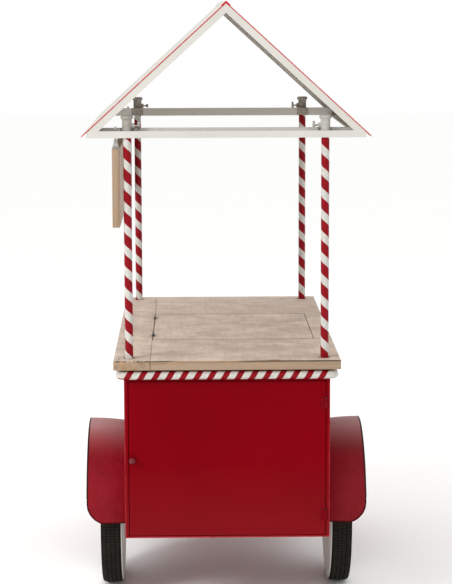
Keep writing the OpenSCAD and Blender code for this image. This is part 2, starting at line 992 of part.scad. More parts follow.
module lid_leaf(y, outer, x0) {
  part = lid_hinge_l / 3;
  translate([lid_axis_x, y, lid_axis_z])
    rotate([90, 0, 0])
      knuckles(lid_hinge_l, outer);
  difference() {
    union() {
      block([x0, y - lid_hinge_l / 2, top_z - lid_hinge_drop], [x0 + lid_leaf_t, y + lid_hinge_l / 2, top_z - seat]);
      for (k = outer ? [-1, 1] : [0])
        block([x0, y + (k - 0.5) * part + seat / 2, top_z - 5],
              [x0 + lid_leaf_t, y + (k + 0.5) * part - seat / 2, lid_axis_z - pin_r]);
    }
    rod_y(lid_axis_x, y - lid_hinge_l, y + lid_hinge_l, lid_axis_z, pin_r + running);
  }
}

module board_lid_leaves() {
  color(steel)
    for (y = lid_hinge_ys)
      lid_leaf(y, true, lid_x0);
}

module moving_lid_leaves() {
  color(steel)
    for (y = lid_hinge_ys)
      lid_leaf(y, false, lid_x0 + lid_gap - lid_leaf_t);
}

module lid_hinge_pins() {
  color(steel)
    for (y = lid_hinge_ys)
      rod_y(lid_axis_x, y - lid_hinge_l / 2 - 1, y + lid_hinge_l / 2 + 1, lid_axis_z, pin_r);
}

// ---- Rail and poles ----

// One tube bent round the cabinet, just under the boards
module bumper_rail() {
  x = cab_half + rail_off;
  y0 = cab_near - rail_off;
  y1 = cab_far + rail_off;
  color(white) {
    both_sides()
      rod_y(x, y0 + rail_bend, y1 - rail_bend, rail_z, rail_r);
    for (y = [y0, y1])
      rod_x(rail_bend - x, x - rail_bend, y, rail_z, rail_r);
    for (c = [[1, y1, 0], [-1, y1, 90], [-1, y0, 180], [1, y0, 270]])
      translate([c[0] * (x - rail_bend), c[1] + (c[1] == y1 ? -rail_bend : rail_bend), rail_z])
        rotate([0, 0, c[2]])
          rotate_extrude(angle = 90)
            translate([rail_bend, 0])
              circle(r = rail_r);
  }
}

module pole_sockets() {
  color(red)
    at_poles()
      difference() {
        rod_z(0, 0, socket_top - socket_l, socket_top, socket_r);
        rod_z(0, 0, socket_top - socket_l + socket_floor, socket_top + 1, pole_r + slip);
      }
}

module poles() {
  color(white)
    at_poles()
      difference() {
        rod_z(0, 0, socket_top - socket_l + socket_floor, pole_top, pole_r);
        rod_z(0, 0, socket_top - socket_l, pole_top + 1, pole_r - pole_wall);
      }
}

// ---- Canopy ----

// A line parallel to the roof's slope, a distance d below it, at half width x
function slope_z(x, d) = canopy_apex - d / cos(pitch) - x * tan(pitch);
// Half width where that line reaches height z
function slope_x(z, d) = (canopy_apex - d / cos(pitch) - z) / tan(pitch);

// Stands an outline of [x, z] points upright, from y0 to y1
module upright(y0, y1) {
  translate([0, y1, 0])
    rotate([90, 0, 0])
      linear_extrude(y1 - y0)
        children();
}

// A strip along the roof's slope: from half width x0 to x1, between depths d0 and d1
module slope_strip(x0, x1, d0, d1) {
  polygon([[x0, slope_z(x0, d0)], [x1, slope_z(x1, d0)], [x1, slope_z(x1, d1)], [x0, slope_z(x0, d1)]]);
}

// A strip over the ridge: out to half width x on both sides, between depths d0 and d1
module slope_vee(x, d0, d1) {
  polygon([[-x, slope_z(x, d0)], [0, slope_z(0, d0)], [x, slope_z(x, d0)],
           [x, slope_z(x, d1)], [0, slope_z(0, d1)], [-x, slope_z(x, d1)]]);
}

// A gable at the near end, with its face towards the door end
module gable(y) {
  face = y - gable_face;
  inner_z = canopy_z + gable_leg;
  color(white)
    difference() {
      union() {
        upright(face, face + gable_t)
          difference() {
            polygon([[-canopy_half, canopy_z], [canopy_half, canopy_z], [canopy_half, eave_z],
                     [0, canopy_apex], [-canopy_half, eave_z]]);
            polygon([[-slope_x(inner_z, gable_leg), inner_z], [slope_x(inner_z, gable_leg), inner_z],
                     [0, slope_z(0, gable_leg)]]);
          }
        block([-canopy_half, face, canopy_z], [canopy_half, y + tie_depth, canopy_z + gable_t]);
        upright(face, y + tie_depth)
          slope_vee(canopy_half, 0, gable_t);
      }
      for (x = [-pole_x, pole_x])
        rod_z(x, y, canopy_z - 1, canopy_z + gable_leg, pole_r + slip);
      rod_z(sign_x, y - eye_shift, canopy_z - 1, canopy_z + gable_leg, screw_r + 0.2);
    }
}

module near_gable() {
  gable(pole_near);
}

module far_gable() {
  translate([0, pole_near + pole_far, 0])
    mirror([0, 1, 0])
      gable(pole_near);
}

// A cross bar with its two sleeves and their threaded bosses, welded together
// The bar runs behind the sleeves; inward is 1 at the near end and -1 at the far end
module cross_bar(y, inward) {
  web = 2.5;
  weld_w = 20;
  front = sleeve_r + seat;
  translate([0, y, 0])
    mirror([0, inward < 0 ? 1 : 0, 0])
      difference() {
        union() {
          difference() {
            block([-cross_half, front, cross_z0], [cross_half, front + cross_w, cross_z1]);
            block([-cross_half - 1, front + web, cross_z0 - 1],
                  [cross_half + 1, front + cross_w - web, cross_z1 - web]);
          }
          both_sides() {
            rod_z(pole_x, 0, cross_z0, sleeve_top, sleeve_r);
            rod_x(pole_x - boss_l, pole_x, 0, wing_z, boss_r);
            block([pole_x - weld_w / 2, 0, cross_z0], [pole_x + weld_w / 2, front + web / 2, cross_z1]);
          }
        }
        both_sides() {
          rod_z(pole_x, 0, cross_z0 - 1, sleeve_top + 1, pole_r + slip);
          rod_x(pole_x - boss_l - 1, pole_x, 0, wing_z, screw_r + thread_gap);
        }
      }
}

module cross_bars() {
  color(white) {
    cross_bar(pole_near, 1);
    cross_bar(pole_far, -1);
  }
}

// A closed collar with a rounded rim on each sleeve
module sleeve_collars() {
  round_r = collar_h / 2;
  color(white)
    at_poles()
      difference() {
        translate([0, 0, collar_z0])
          rotate_extrude() {
            square([(sleeve_r + collar_wall) - round_r, collar_h]);
            translate([(sleeve_r + collar_wall) - round_r, round_r])
              intersection() {
                circle(r = round_r);
                translate([0, -round_r])
                  square([round_r, collar_h]);
              }
          }
        rod_z(0, 0, collar_z0 - 1, sleeve_top + seat, sleeve_r + running);
      }
}

// Eave rails along both sides and the ridge rail under the apex
module roof_rails() {
  y0 = pole_near + tie_depth;
  y1 = pole_far - tie_depth;
  color(white) {
    both_sides()
      upright(y0, y1) {
        translate([canopy_half - gable_t, canopy_z])
          square([gable_t, eave_h - seat]);
        translate([canopy_half - eave_leg, canopy_z])
          square([eave_leg, gable_t]);
      }
    upright(y0, y1)
      slope_vee(eave_leg * cos(pitch), 0, gable_t);
  }
}

module roof_sheets() {
  y0 = pole_near - gable_face - 1;
  y1 = pole_far + gable_face + 1;
  color(white)
    both_sides()
      upright(y0, y1)
        slope_strip(cap_leg * cos(pitch) + seat, canopy_half + roof_eave, -roof_gap - roof_t, -roof_gap);
}

module ridge_cap() {
  y0 = pole_near - gable_face - 1;
  y1 = pole_far + gable_face + 1;
  color(white)
    upright(y0, y1)
      slope_vee(cap_leg * cos(pitch), -roof_gap - cap_t, -roof_gap);
}

// A wing bolt that points to the middle of the cart; side is -1 at the left and 1 at the right
module wing_bolt(side, y, turn) {
  hub_r = 5;
  hub_l = 8;
  wing_r = 4.2;
  wing_t = 2.4;
  tip = pole_r + slip;
  color(steel)
    translate([side * pole_x, y, wing_z])
      rotate([0, -90 * side, 0])
        rotate([0, 0, turn]) {
          translate([0, 0, tip])
            cylinder(h = wing_reach - tip, r = screw_r);
          translate([0, 0, wing_reach - hub_l])
            cylinder(h = hub_l, r = hub_r);
          for (m = [0, 180])
            rotate([0, 0, m])
              rotate([90, 0, 0])
                translate([0, 0, -wing_t / 2])
                  linear_extrude(wing_t)
                    union() {
                      translate([hub_r - 1, wing_reach - hub_l + 1])
                        square([wing_span - wing_r - hub_r + 1, hub_l - 2]);
                      translate([wing_span - wing_r, wing_reach - wing_r])
                        circle(r = wing_r);
                    }
        }
}

module wing_bolt_near_left() {
  wing_bolt(-1, pole_near, 20);
}

module wing_bolt_near_right() {
  wing_bolt(1, pole_near, 8);
}

module wing_bolt_far_left() {
  wing_bolt(-1, pole_far, 65);
}

module wing_bolt_far_right() {
  wing_bolt(1, pole_far, 30);
}

// ---- Sign board ----

module sign_board() {
  color(timber)
    block([sign_x - sign_t / 2, sign_y0, sign_top - sign_h], [sign_x + sign_t / 2, sign_y1, sign_top]);
}

// Eye bolts through the tie bars' lower flanges, with a nut on top
module sign_eye_bolts() {
  nut_h = 5;
  color(steel)
    for (y = eye_ys)
      difference() {
        union() {
          rod_z(sign_x, y, sign_axis_z + hanger_r + 0.5, cross_z1 + 6, screw_r);
          translate([sign_x, y, cross_z0])
            cylinder(h = nut_h, r = 5.8, $fn = 6);
          rod_y(sign_x, y - eye_t / 2, y + eye_t / 2, sign_axis_z, eye_r);
        }
        rod_y(sign_x, y - eye_t, y + eye_t, sign_axis_z, eye_pin_r + running);
      }
}

// Triangular hangers: a plate with a pin through the eye and a foot on the board
module sign_hangers() {
  plate = 3;
  foot_t = 2;
  foot_l = 30;
  color(steel)
    for (side = [0, 1])
      translate([sign_x, eye_ys[side], 0])
        mirror([0, side, 0]) {
          y0 = eye_t / 2 + seat;
          upright(y0, y0 + plate)
            union() {
              polygon([[-sign_t / 2, sign_top], [sign_t / 2, sign_top],
                       [hanger_r, sign_axis_z], [-hanger_r, sign_axis_z]]);
              translate([0, sign_axis_z])
                circle(r = hanger_r);
            }
          block([-sign_t / 2, y0, sign_top], [sign_t / 2, y0 + foot_l, sign_top + foot_t]);
          rod_y(0, -y0 - 1.5, y0 + plate, sign_axis_z, eye_pin_r);
          rod_y(0, -y0 - 1.5, -y0, sign_axis_z, hanger_r - 0.5);
        }
}

chassis();
axle();
axle_spacers();
axle_end_fasteners();
left_tyre();
left_wheel();
left_bush();
left_hub_cap();
right_tyre();
right_wheel();
right_bush();
right_hub_cap();
left_fender();
right_fender();
fender_screws();
legs();
feet();
cabinet_shell();
cabinet_floor();
shelf();
shelf_brackets();
door_frame();
door_panel();
door_knob();
door_catch();
strike_plate();
frame_hinge_leaves();
door_hinge_leaves();
door_hinge_pins();
side_board();
near_planks();
far_planks();
right_strip();
battens();
bin();
lid_planks();
lid_battens();
board_lid_leaves();
moving_lid_leaves();
lid_hinge_pins();
bumper_rail();
pole_sockets();
poles();
push_handle();
handle_screws();
handle_grip();
near_gable();
far_gable();
cross_bars();
sleeve_collars();
roof_rails();
roof_sheets();
ridge_cap();
wing_bolt_near_left();
wing_bolt_near_right();
wing_bolt_far_left();
wing_bolt_far_right();
sign_board();
sign_hangers();
sign_eye_bolts();
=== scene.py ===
"""Push vending cart: worn boards, treaded tyres, rolled edges and finishes on the fixed frame."""

import math

import bpy
from bpy.props import FloatProperty, FloatVectorProperty, IntProperty, PointerProperty
from mathutils import Matrix, Vector


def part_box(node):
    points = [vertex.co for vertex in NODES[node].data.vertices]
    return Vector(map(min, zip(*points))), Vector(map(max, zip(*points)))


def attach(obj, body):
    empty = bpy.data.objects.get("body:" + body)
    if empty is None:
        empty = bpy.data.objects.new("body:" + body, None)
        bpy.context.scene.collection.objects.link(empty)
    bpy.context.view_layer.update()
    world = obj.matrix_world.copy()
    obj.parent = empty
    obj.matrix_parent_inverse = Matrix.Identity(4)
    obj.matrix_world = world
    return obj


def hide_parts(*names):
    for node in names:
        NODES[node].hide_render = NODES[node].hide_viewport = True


bl_info = {
    "name": "Push vending cart",
    "version": (1, 0, 0),
    "blender": (4, 5, 0),
    "location": "3D View > Sidebar > Cart",
    "description": "Dresses the cart's frame with boards, tyres, edges and finishes",
    "category": "Object",
}

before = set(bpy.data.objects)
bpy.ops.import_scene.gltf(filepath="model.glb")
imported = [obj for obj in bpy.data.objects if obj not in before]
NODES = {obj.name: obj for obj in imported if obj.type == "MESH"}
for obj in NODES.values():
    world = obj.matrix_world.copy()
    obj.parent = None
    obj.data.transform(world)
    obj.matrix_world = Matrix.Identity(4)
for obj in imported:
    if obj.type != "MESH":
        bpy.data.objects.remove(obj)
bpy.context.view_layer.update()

MM = 0.001
FULL_TURN = 2 * math.pi


def linear(code):
    """An sRGB hex colour as linear red, green and blue."""
    shares = [int(code[i : i + 2], 16) / 255 for i in (1, 3, 5)]
    return [s / 12.92 if s <= 0.04045 else ((s + 0.055) / 1.055) ** 2.4 for s in shares]


# ---- Places that come from the frame ----

TOP_LOW, TOP_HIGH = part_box("near_planks")
FAR_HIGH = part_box("far_planks")[1]
SHELL_LOW, SHELL_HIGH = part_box("cabinet_shell")
RAIL_LOW, RAIL_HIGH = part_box("bumper_rail")
POLES_LOW, POLES_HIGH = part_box("poles")
SHEETS_LOW, SHEETS_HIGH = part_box("roof_sheets")
MIDDLE_Y = (RAIL_LOW.y + RAIL_HIGH.y) / 2
POLE_R = 13 * MM
POLE_X = POLES_HIGH.x - POLE_R
POLE_NEAR_Y = POLES_LOW.y + POLE_R
POLE_FAR_Y = POLES_HIGH.y - POLE_R
RAIL_R = (RAIL_HIGH.z - RAIL_LOW.z) / 2
RAIL_Z = (RAIL_HIGH.z + RAIL_LOW.z) / 2
RAIL_BEND = 13.8 * MM
TOP_Z = TOP_HIGH.z
TYRE_LOW, TYRE_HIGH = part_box("right_tyre")
WHEEL_Y = (TYRE_LOW.y + TYRE_HIGH.y) / 2
WHEEL_R = (TYRE_HIGH.z - TYRE_LOW.z) / 2
LID_LOW, LID_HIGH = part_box("lid_planks")
FENDER_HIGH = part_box("right_fender")[1]

# Points nearer than this are one point.
MERGE = 0.005 * MM
# Where the bands start, in turns: each pole, near and far, and the rail were fitted as they came.
LEFT_STARTS = (0.714, 0.498)
RIGHT_STARTS = (0.116, 0.166)
RAIL_START = 0.348
# How far the sleeves' own finish reaches from a pole's axis.
SLEEVE_REACH = 22 * MM


class CartSizes(bpy.types.PropertyGroup):
    """Sizes that a user would change."""

    pole_stripe: FloatProperty(
        name="Pole stripe pitch",
        description="Rise of one turn of the red band round a pole",
        default=69 * MM,
        min=30 * MM,
        max=200 * MM,
        unit="LENGTH",
    )
    pole_red: FloatProperty(
        name="Red share on the poles",
        description="Share of the pitch that is red",
        default=0.56,
        min=0.1,
        max=0.9,
        subtype="FACTOR",
    )
    rail_stripe: FloatProperty(
        name="Rail stripe pitch",
        description="Length of rail from one red band to the next",
        default=44.6 * MM,
        min=20 * MM,
        max=150 * MM,
        unit="LENGTH",
    )
    rail_red: FloatProperty(
        name="Red share on the rail",
        description="Share of the pitch that is red",
        default=0.46,
        min=0.1,
        max=0.9,
        subtype="FACTOR",
    )
    arris: FloatProperty(
        name="Worn arris",
        description="How far the outer edges of the boards are rounded by use",
        default=2.2 * MM,
        min=0.2 * MM,
        max=5 * MM,
        unit="LENGTH",
    )
    joint_arris: FloatProperty(
        name="Joint arris",
        description="How far the edges at a joint between two boards are eased",
        default=0.15 * MM,
        min=0.1 * MM,
        max=2 * MM,
        unit="LENGTH",
    )
    tread_depth: FloatProperty(
        name="Tread depth",
        description="Depth of the grooves between the tread's blocks",
        default=3 * MM,
        min=1 * MM,
        max=5 * MM,
        unit="LENGTH",
    )
    tread_pitches: IntProperty(
        name="Tread pitches",
        description="Rows of blocks round the tyre",
        default=150,
        min=60,
        max=240,
    )
    tread_slant: FloatProperty(
        name="Tread slant",
        description="Turn of each block away from the axle's line",
        default=math.radians(24),
        min=0,
        max=math.radians(45),
        subtype="ANGLE",
    )
    lip: FloatProperty(
        name="Fender lip",
        description="Radius of the rolled edge round the fender's lower corner",
        default=2.4 * MM,
        min=1 * MM,
        max=3 * MM,
        unit="LENGTH",
    )
    grip_ribs: IntProperty(
        name="Grip ribs",
        description="Ribs along the rubber grip",
        default=34,
        min=8,
        max=60,
    )


class CartColours(bpy.types.PropertyGroup):
    """Colours of the finishes, as linear light."""

    cabinet_red: FloatVectorProperty(
        name="Cabinet red",
        description="Dark red enamel of the cabinet",
        default=linear("#7c000d"),
        size=3,
        min=0,
        max=1,
        subtype="COLOR",
    )
    stripe_red: FloatVectorProperty(
        name="Stripe red",
        description="Red of the painted bands",
        default=linear("#8e0617"),
        size=3,
        min=0,
        max=1,
        subtype="COLOR",
    )
    frame_white: FloatVectorProperty(
        name="Frame white",
        description="Off-white enamel of the canopy, the poles and the wheels",
        default=linear("#ccc9c2"),
        size=3,
        min=0,
        max=1,
        subtype="COLOR",
    )
    wood_top: FloatVectorProperty(
        name="Washed timber",
        description="Thin white wash over pine, on the faces of the boards",
        default=linear("#d3bfaf"),
        size=3,
        min=0,
        max=1,
        subtype="COLOR",
    )
    wood_bare: FloatVectorProperty(
        name="Bare timber",
        description="Pine on the sawn edges and where the wash has worn off",
        default=linear("#a08a74"),
        size=3,
        min=0,
        max=1,
        subtype="COLOR",
    )
    rubber: FloatVectorProperty(
        name="Rubber",
        description="Tyres, grip and feet",
        default=linear("#121110"),
        size=3,
        min=0,
        max=1,
        subtype="COLOR",
    )


# ---- Working on meshes ----


def pick(*objects):
    """Leaves only these objects selected, the last of them active."""
    bpy.ops.object.select_all(action="DESELECT")
    for piece in objects:
        piece.select_set(True)
    bpy.context.view_layer.objects.active = objects[-1]


def edit(kind):
    """Opens the active piece for editing by vertices, edges or faces, with nothing selected."""
    bpy.ops.object.mode_set(mode="EDIT")
    bpy.ops.mesh.select_mode(type=kind)
    bpy.ops.mesh.select_all(action="DESELECT")


def edit_whole():
    """Opens the active piece for editing with all of it selected."""
    edit("VERT")
    bpy.ops.mesh.select_all(action="SELECT")


def choose(kind, test):
    """Selects the active mesh's parts of this kind that pass the test, and stays in edit mode."""
    mesh = bpy.context.active_object.data
    edit(kind)
    bpy.ops.object.mode_set(mode="OBJECT")
    parts = {"VERT": mesh.vertices, "EDGE": mesh.edges, "FACE": mesh.polygons}[kind]
    found = 0
    for part in parts:
        part.select = bool(test(part))
        found += part.select
    if not found:
        raise RuntimeError(f"nothing to select on {bpy.context.active_object.name}")
    bpy.ops.object.mode_set(mode="EDIT")


def ends(mesh, edge):
    """The two end points of an edge."""
    return [mesh.vertices[i].co for i in edge.vertices]


def settle(piece):
    """Puts the piece's place, turn and size into its mesh."""
    pick(piece)
    bpy.ops.object.transform_apply(location=True, rotation=True, scale=True)


def point_outwards(piece):
    """Merges doubled points and turns every face outwards."""
    pick(piece)
    edit_whole()
    bpy.ops.mesh.remove_doubles(threshold=MERGE)
    bpy.ops.mesh.normals_make_consistent(inside=False)
    bpy.ops.object.mode_set(mode="OBJECT")


def mirrored(piece, factors, centre):
    """A copy of the piece, mirrored about the centre along each axis whose factor is -1."""
    other = piece.copy()
    other.data = piece.data.copy()
    bpy.context.scene.collection.objects.link(other)
    pick(other)
    edit_whole()
    bpy.ops.transform.resize(value=factors, center_override=centre)
    if math.prod(factors) < 0:
        bpy.ops.mesh.flip_normals()
    bpy.ops.object.mode_set(mode="OBJECT")
    return other


def smooth(piece, degrees=35):
    """Shades the piece smooth, apart from edges sharper than this."""
    pick(piece)
    bpy.ops.object.shade_smooth_by_angle(angle=math.radians(degrees))


def modify(piece, kind, **settings):
    """Adds a modifier and applies it."""
    pick(piece)
    made = piece.modifiers.new(kind.title(), kind)
    for name, value in settings.items():
        setattr(made, name, value)
    bpy.ops.object.modifier_apply(modifier=made.name)


def finish_piece(piece, name, body, material, replaced=()):
    """Names the piece, gives it its finish and fixes it to the body that it moves with."""
    piece.name = name
    piece.data.name = name
    piece.data.materials.clear()
    piece.data.materials.append(material)
    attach(piece, body)
    if replaced:
        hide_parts(*replaced)
    return piece


def copy_of(node):
    """A merged copy of a frame node, with its flat faces whole again."""
    source = NODES[node]
    piece = bpy.data.objects.new(node + "_copy", source.data.copy())
    bpy.context.scene.collection.objects.link(piece)
    pick(piece)
    bpy.ops.mesh.customdata_custom_splitnormals_clear()
    edit_whole()
    bpy.ops.mesh.remove_doubles(threshold=MERGE)
    bpy.ops.mesh.dissolve_limited(angle_limit=math.radians(0.5))
    bpy.ops.object.mode_set(mode="OBJECT")
    return piece


def ease_edges(piece, width, is_outer, inner_share):
    """Rounds the sharp edges: the outer ones to the full width, the others to a share of it."""
    mesh = piece.data
    weights = mesh.attributes.new("bevel_weight_edge", "FLOAT", "EDGE")
    for edge in mesh.edges:
        outer = all(is_outer(point) for point in ends(mesh, edge))
        weights.data[edge.index].value = 1.0 if outer else inner_share
    modify(
        piece,
        "BEVEL",
        width=width,
        segments=3,
        limit_method="WEIGHT",
        use_clamp_overlap=True,
    )


# ---- Materials ----


def add(tree, kind, inputs=None, out=0, **settings):
    """Adds a node with its settings; each input is a value, or the socket that feeds it."""
    made = tree.nodes.new("ShaderNode" + kind)
    for name, value in settings.items():
        setattr(made, name, value)
    for name, value in (inputs or {}).items():
        if isinstance(value, bpy.types.NodeSocket):
            tree.links.new(value, made.inputs[name])
        else:
            made.inputs[name].default_value = value
    return made.outputs[out] if made.outputs else made


def new_material(name):
    """An empty node material."""
    made = bpy.data.materials.new(name)
    made.use_nodes = True
    made.node_tree.nodes.clear()
    return made, made.node_tree


def rgba(colour, share=1.0):
    """A colour, made lighter or darker by a share, with full alpha."""
    return [min(1.0, c * share) for c in colour] + [1.0]


def surface(tree, colour, roughness, height=None, relief=0.2, depth=0.4 * MM, **fixed):
    """Ends a material: shader and output, with bump from a height where there is one."""
    inputs = {"Base Color": colour, "Roughness": roughness}
    if height is not None:
        inputs["Normal"] = add(
            tree, "Bump", {"Height": height, "Strength": relief, "Distance": depth}
        )
    for name, value in fixed.items():
        inputs[name.replace("_", " ").title().replace("Ior", "IOR")] = value
    shader = add(tree, "BsdfPrincipled", inputs)
    add(tree, "OutputMaterial", {"Surface": shader})


def axes(tree, source="Object"):
    """The x, y and z of the place on the piece in metres, or of its normal."""
    return add(tree, "SeparateXYZ", {0: add(tree, "TexCoord", out=source)}).node.outputs


def distance(tree, value, middle):
    """How far a value is from a middle one, either way."""
    off = add(tree, "Math", {0: value, 1: middle}, operation="SUBTRACT")
    return add(tree, "Math", {0: off}, operation="ABSOLUTE")


def object_place(tree, scale):
    """Places on the piece in metres, stretched."""
    place = add(tree, "TexCoord", out="Object")
    return add(tree, "Mapping", {"Vector": place, "Scale": scale})


def cloud(tree, size, detail=3, scale=(1, 1, 1), roughness=0.55):
    """Soft random patches of about this size in metres."""
    return add(
        tree,
        "TexNoise",
        {
            "Vector": object_place(tree, scale),
            "Scale": 1 / size,
            "Detail": detail,
            "Roughness": roughness,
        },
    )


def spread(tree, value, low, high, to_low=0.0, to_high=1.0):
    """Spreads a value's range from low to high over a new range, held at its ends."""
    return add(
        tree,
        "MapRange",
        {
            "Value": value,
            "From Min": low,
            "From Max": high,
            "To Min": to_low,
            "To Max": to_high,
        },
    )


def blend_colours(tree, share, first, second):
    """Mixes two colours by a share."""
    return add(
        tree,
        "Mix",
        {0: share, 6: first, 7: second},
        out=2,
        data_type="RGBA",
    )


def enamel(name, base, lighter, darker, roughness=0.38, chips=0.0, coat=0.0, gloss=0.05):
    """Sprayed enamel on steel.

    The eye sees an even colour that clouds a little over a hand's width, a faint orange peel,
    and a sheen that breaks up where the paint is handled.
    """
    made, tree = new_material(name)
    broad = cloud(tree, 260 * MM, 4)
    fine = cloud(tree, 22 * MM, 4)
    peel = cloud(tree, 2.4 * MM, 2)
    scuffs = cloud(tree, 30 * MM, 6, (1, 1, 0.25), 0.72)
    colour = blend_colours(tree, spread(tree, broad, 0.36, 0.66), darker, base)
    colour = blend_colours(tree, spread(tree, fine, 0.52, 0.8, 0.0, 0.35), colour, lighter)
    if chips:
        mask = spread(tree, scuffs, 0.70, 0.74, 0.0, chips)
        colour = blend_colours(tree, mask, colour, rgba(linear("#8c8479")))
    rough = spread(tree, scuffs, 0.3, 0.75, roughness - 0.06, roughness + 0.16)
    surface(
        tree,
        colour,
        rough,
        peel,
        0.12,
        0.2 * MM,
        specular_ior_level=gloss,
        coat_weight=coat,
        coat_roughness=0.3,
    )
    return made


def cabinet_enamel(colours):
    """Satin red enamel on folded sheet steel.

    The eye sees a deep even red, a touch browner low down, and a painted highlight as a brighter
    line along the folded edges and the bottom hem.
    """
    made, tree = new_material("satin_red_enamel_on_sheet_steel")
    base = rgba(colours.cabinet_red)
    broad = cloud(tree, 300 * MM, 4)
    fine = cloud(tree, 16 * MM, 4)
    peel = cloud(tree, 2.4 * MM, 2)
    scuffs = cloud(tree, 26 * MM, 6, (1, 1, 0.3), 0.72)
    parts = axes(tree)
    low_down = spread(tree, parts[2], SHELL_LOW.z + 0.25, SHELL_LOW.z)
    colour = blend_colours(
        tree,
        spread(tree, broad, 0.34, 0.68),
        rgba(colours.cabinet_red, 0.86),
        base,
    )
    colour = blend_colours(
        tree,
        add(tree, "Math", {0: low_down, 1: 0.32}, operation="MULTIPLY"),
        colour,
        rgba(linear("#7c2424")),
    )
    # Painted highlight at the folds: a band a few millimetres wide inside each upright corner.
    across = add(tree, "Math", {0: parts[0]}, operation="ABSOLUTE")
    fold_highlight = spread(tree, across, SHELL_HIGH.x - 5 * MM, SHELL_HIGH.x - 1 * MM)
    at_end = add(tree, "Math", {0: axes(tree, "Normal")[1]}, operation="ABSOLUTE")
    at_end = spread(tree, at_end, 0.5, 0.9)
    fold_highlight = add(tree, "Math", {0: fold_highlight, 1: at_end}, operation="MULTIPLY")
    # Painted highlight along the bottom hem as well.
    hem_highlight = spread(tree, parts[2], SHELL_LOW.z + 7 * MM, SHELL_LOW.z + 2 * MM)
    # The painted highlights of folds and hem, broken up in patches, turn the red paler.
    worn = add(tree, "Math", {0: fold_highlight, 1: hem_highlight}, operation="MAXIMUM")
    patchy = spread(tree, fine, 0.35, 0.6, 0.35, 0.95)
    worn = add(tree, "Math", {0: worn, 1: patchy}, operation="MULTIPLY")
    colour = blend_colours(tree, worn, colour, rgba(linear("#a83038")))
    rough = spread(tree, scuffs, 0.3, 0.75, 0.34, 0.52)
    surface(tree, colour, rough, peel, 0.12, 0.2 * MM, specular_ior_level=0.03)
    return made


def sleeve_enamel_with_painted_shade(colours):
    """White enamel on the bars, greyed on the turned sleeves at their ends by painted shade.

    The eye sees clean white bars between sleeves greyed by painted shade of the roof, least on
    the near right one.
    """
    made, tree = new_material("white_enamel_on_sleeve_with_painted_roof_shade")
    x, y, _ = axes(tree)
    # Picks out the near right sleeve, which gets the least painted shade.
    right = add(tree, "Math", {0: x, 1: 0.0}, operation="GREATER_THAN")
    near = add(tree, "Math", {0: y, 1: MIDDLE_Y}, operation="LESS_THAN")
    whole = add(tree, "Math", {0: right, 1: near}, operation="MULTIPLY")
    across = add(tree, "Math", {0: x}, operation="ABSOLUTE")
    from_pole = distance(tree, across, POLE_X)
    sleeve = spread(tree, from_pole, SLEEVE_REACH + 1 * MM, SLEEVE_REACH)
    fine = cloud(tree, 12 * MM, 4)
    shade = spread(tree, fine, 0.3, 0.7)
    # Painted shade of the roof: grey on three sleeves, a dimmer white on the near right one.
    grey = blend_colours(
        tree, shade, rgba(linear("#8b867d")), rgba(linear("#a5a098"))
    )
    thin = blend_colours(
        tree, shade, rgba(colours.frame_white, 0.6), rgba(colours.frame_white, 0.76)
    )
    white = blend_colours(tree, shade, rgba(colours.frame_white, 0.9), rgba(colours.frame_white))
    colour = blend_colours(tree, whole, grey, thin)
    colour = blend_colours(tree, sleeve, white, colour)
    rough = spread(tree, fine, 0.3, 0.7, 0.38, 0.56)
    surface(
        tree,
        colour,
        rough,
        cloud(tree, 2.4 * MM, 2),
        0.12,
        0.2 * MM,
        specular_ior_level=0.1,
    )
    return made


def fender_enamel(colours):
    """Satin red enamel on a pressed fender.

    The eye sees a bright red, a painted highlight paler on the level crown, faint upright
    polishing marks, and painted shade as a dark line along the rolled edge.
    """
    made, tree = new_material("satin_red_enamel_on_pressed_fender")
    broad = cloud(tree, 160 * MM, 4)
    marks = cloud(tree, 12 * MM, 4, (1, 1, 0.12), 0.6)
    peel = cloud(tree, 2.4 * MM, 2)
    colour = blend_colours(
        tree,
        spread(tree, broad, 0.34, 0.66),
        rgba(colours.cabinet_red, 0.95),
        rgba(linear("#8e0a1e")),
    )
    colour = blend_colours(
        tree, spread(tree, marks, 0.5, 0.75, 0.0, 0.3), colour, rgba(linear("#9c2634"))
    )
    # Painted highlight: paler red where the crown lies nearly level and faces the light.
    crown_highlight = spread(tree, axes(tree, "Normal")[2], 0.62, 0.97)
    crown_highlight = add(tree, "Math", {0: crown_highlight, 1: 3.0}, operation="POWER")
    crown_highlight = add(tree, "Math", {0: crown_highlight, 1: 0.6}, operation="MULTIPLY")
    colour = blend_colours(tree, crown_highlight, colour, rgba(linear("#b98a8a")))
    parts = axes(tree)
    across = add(tree, "Math", {0: parts[0]}, operation="ABSOLUTE")
    # Painted shade: a dark band on the rolled bead along the outer edge.
    rim_shade = spread(tree, across, FENDER_HIGH.x - 6.5 * MM, FENDER_HIGH.x - 5.5 * MM)
    colour = blend_colours(tree, rim_shade, colour, rgba(linear("#34090d")))
    rough = spread(tree, marks, 0.3, 0.75, 0.38, 0.55)
    surface(
        tree,
        colour,
        rough,
        peel,
        0.12,
        0.2 * MM,
        specular_ior_level=0.1,
        coat_weight=0.12,
        coat_roughness=0.35,
    )
    return made


def turns_round(tree, side, up):
    """The share of a turn round an axis, from the sideways and upward distances to it."""
    angle = add(tree, "Math", {0: up, 1: side}, operation="ARCTAN2")
    return add(tree, "Math", {0: angle, 1: FULL_TURN}, operation="DIVIDE")


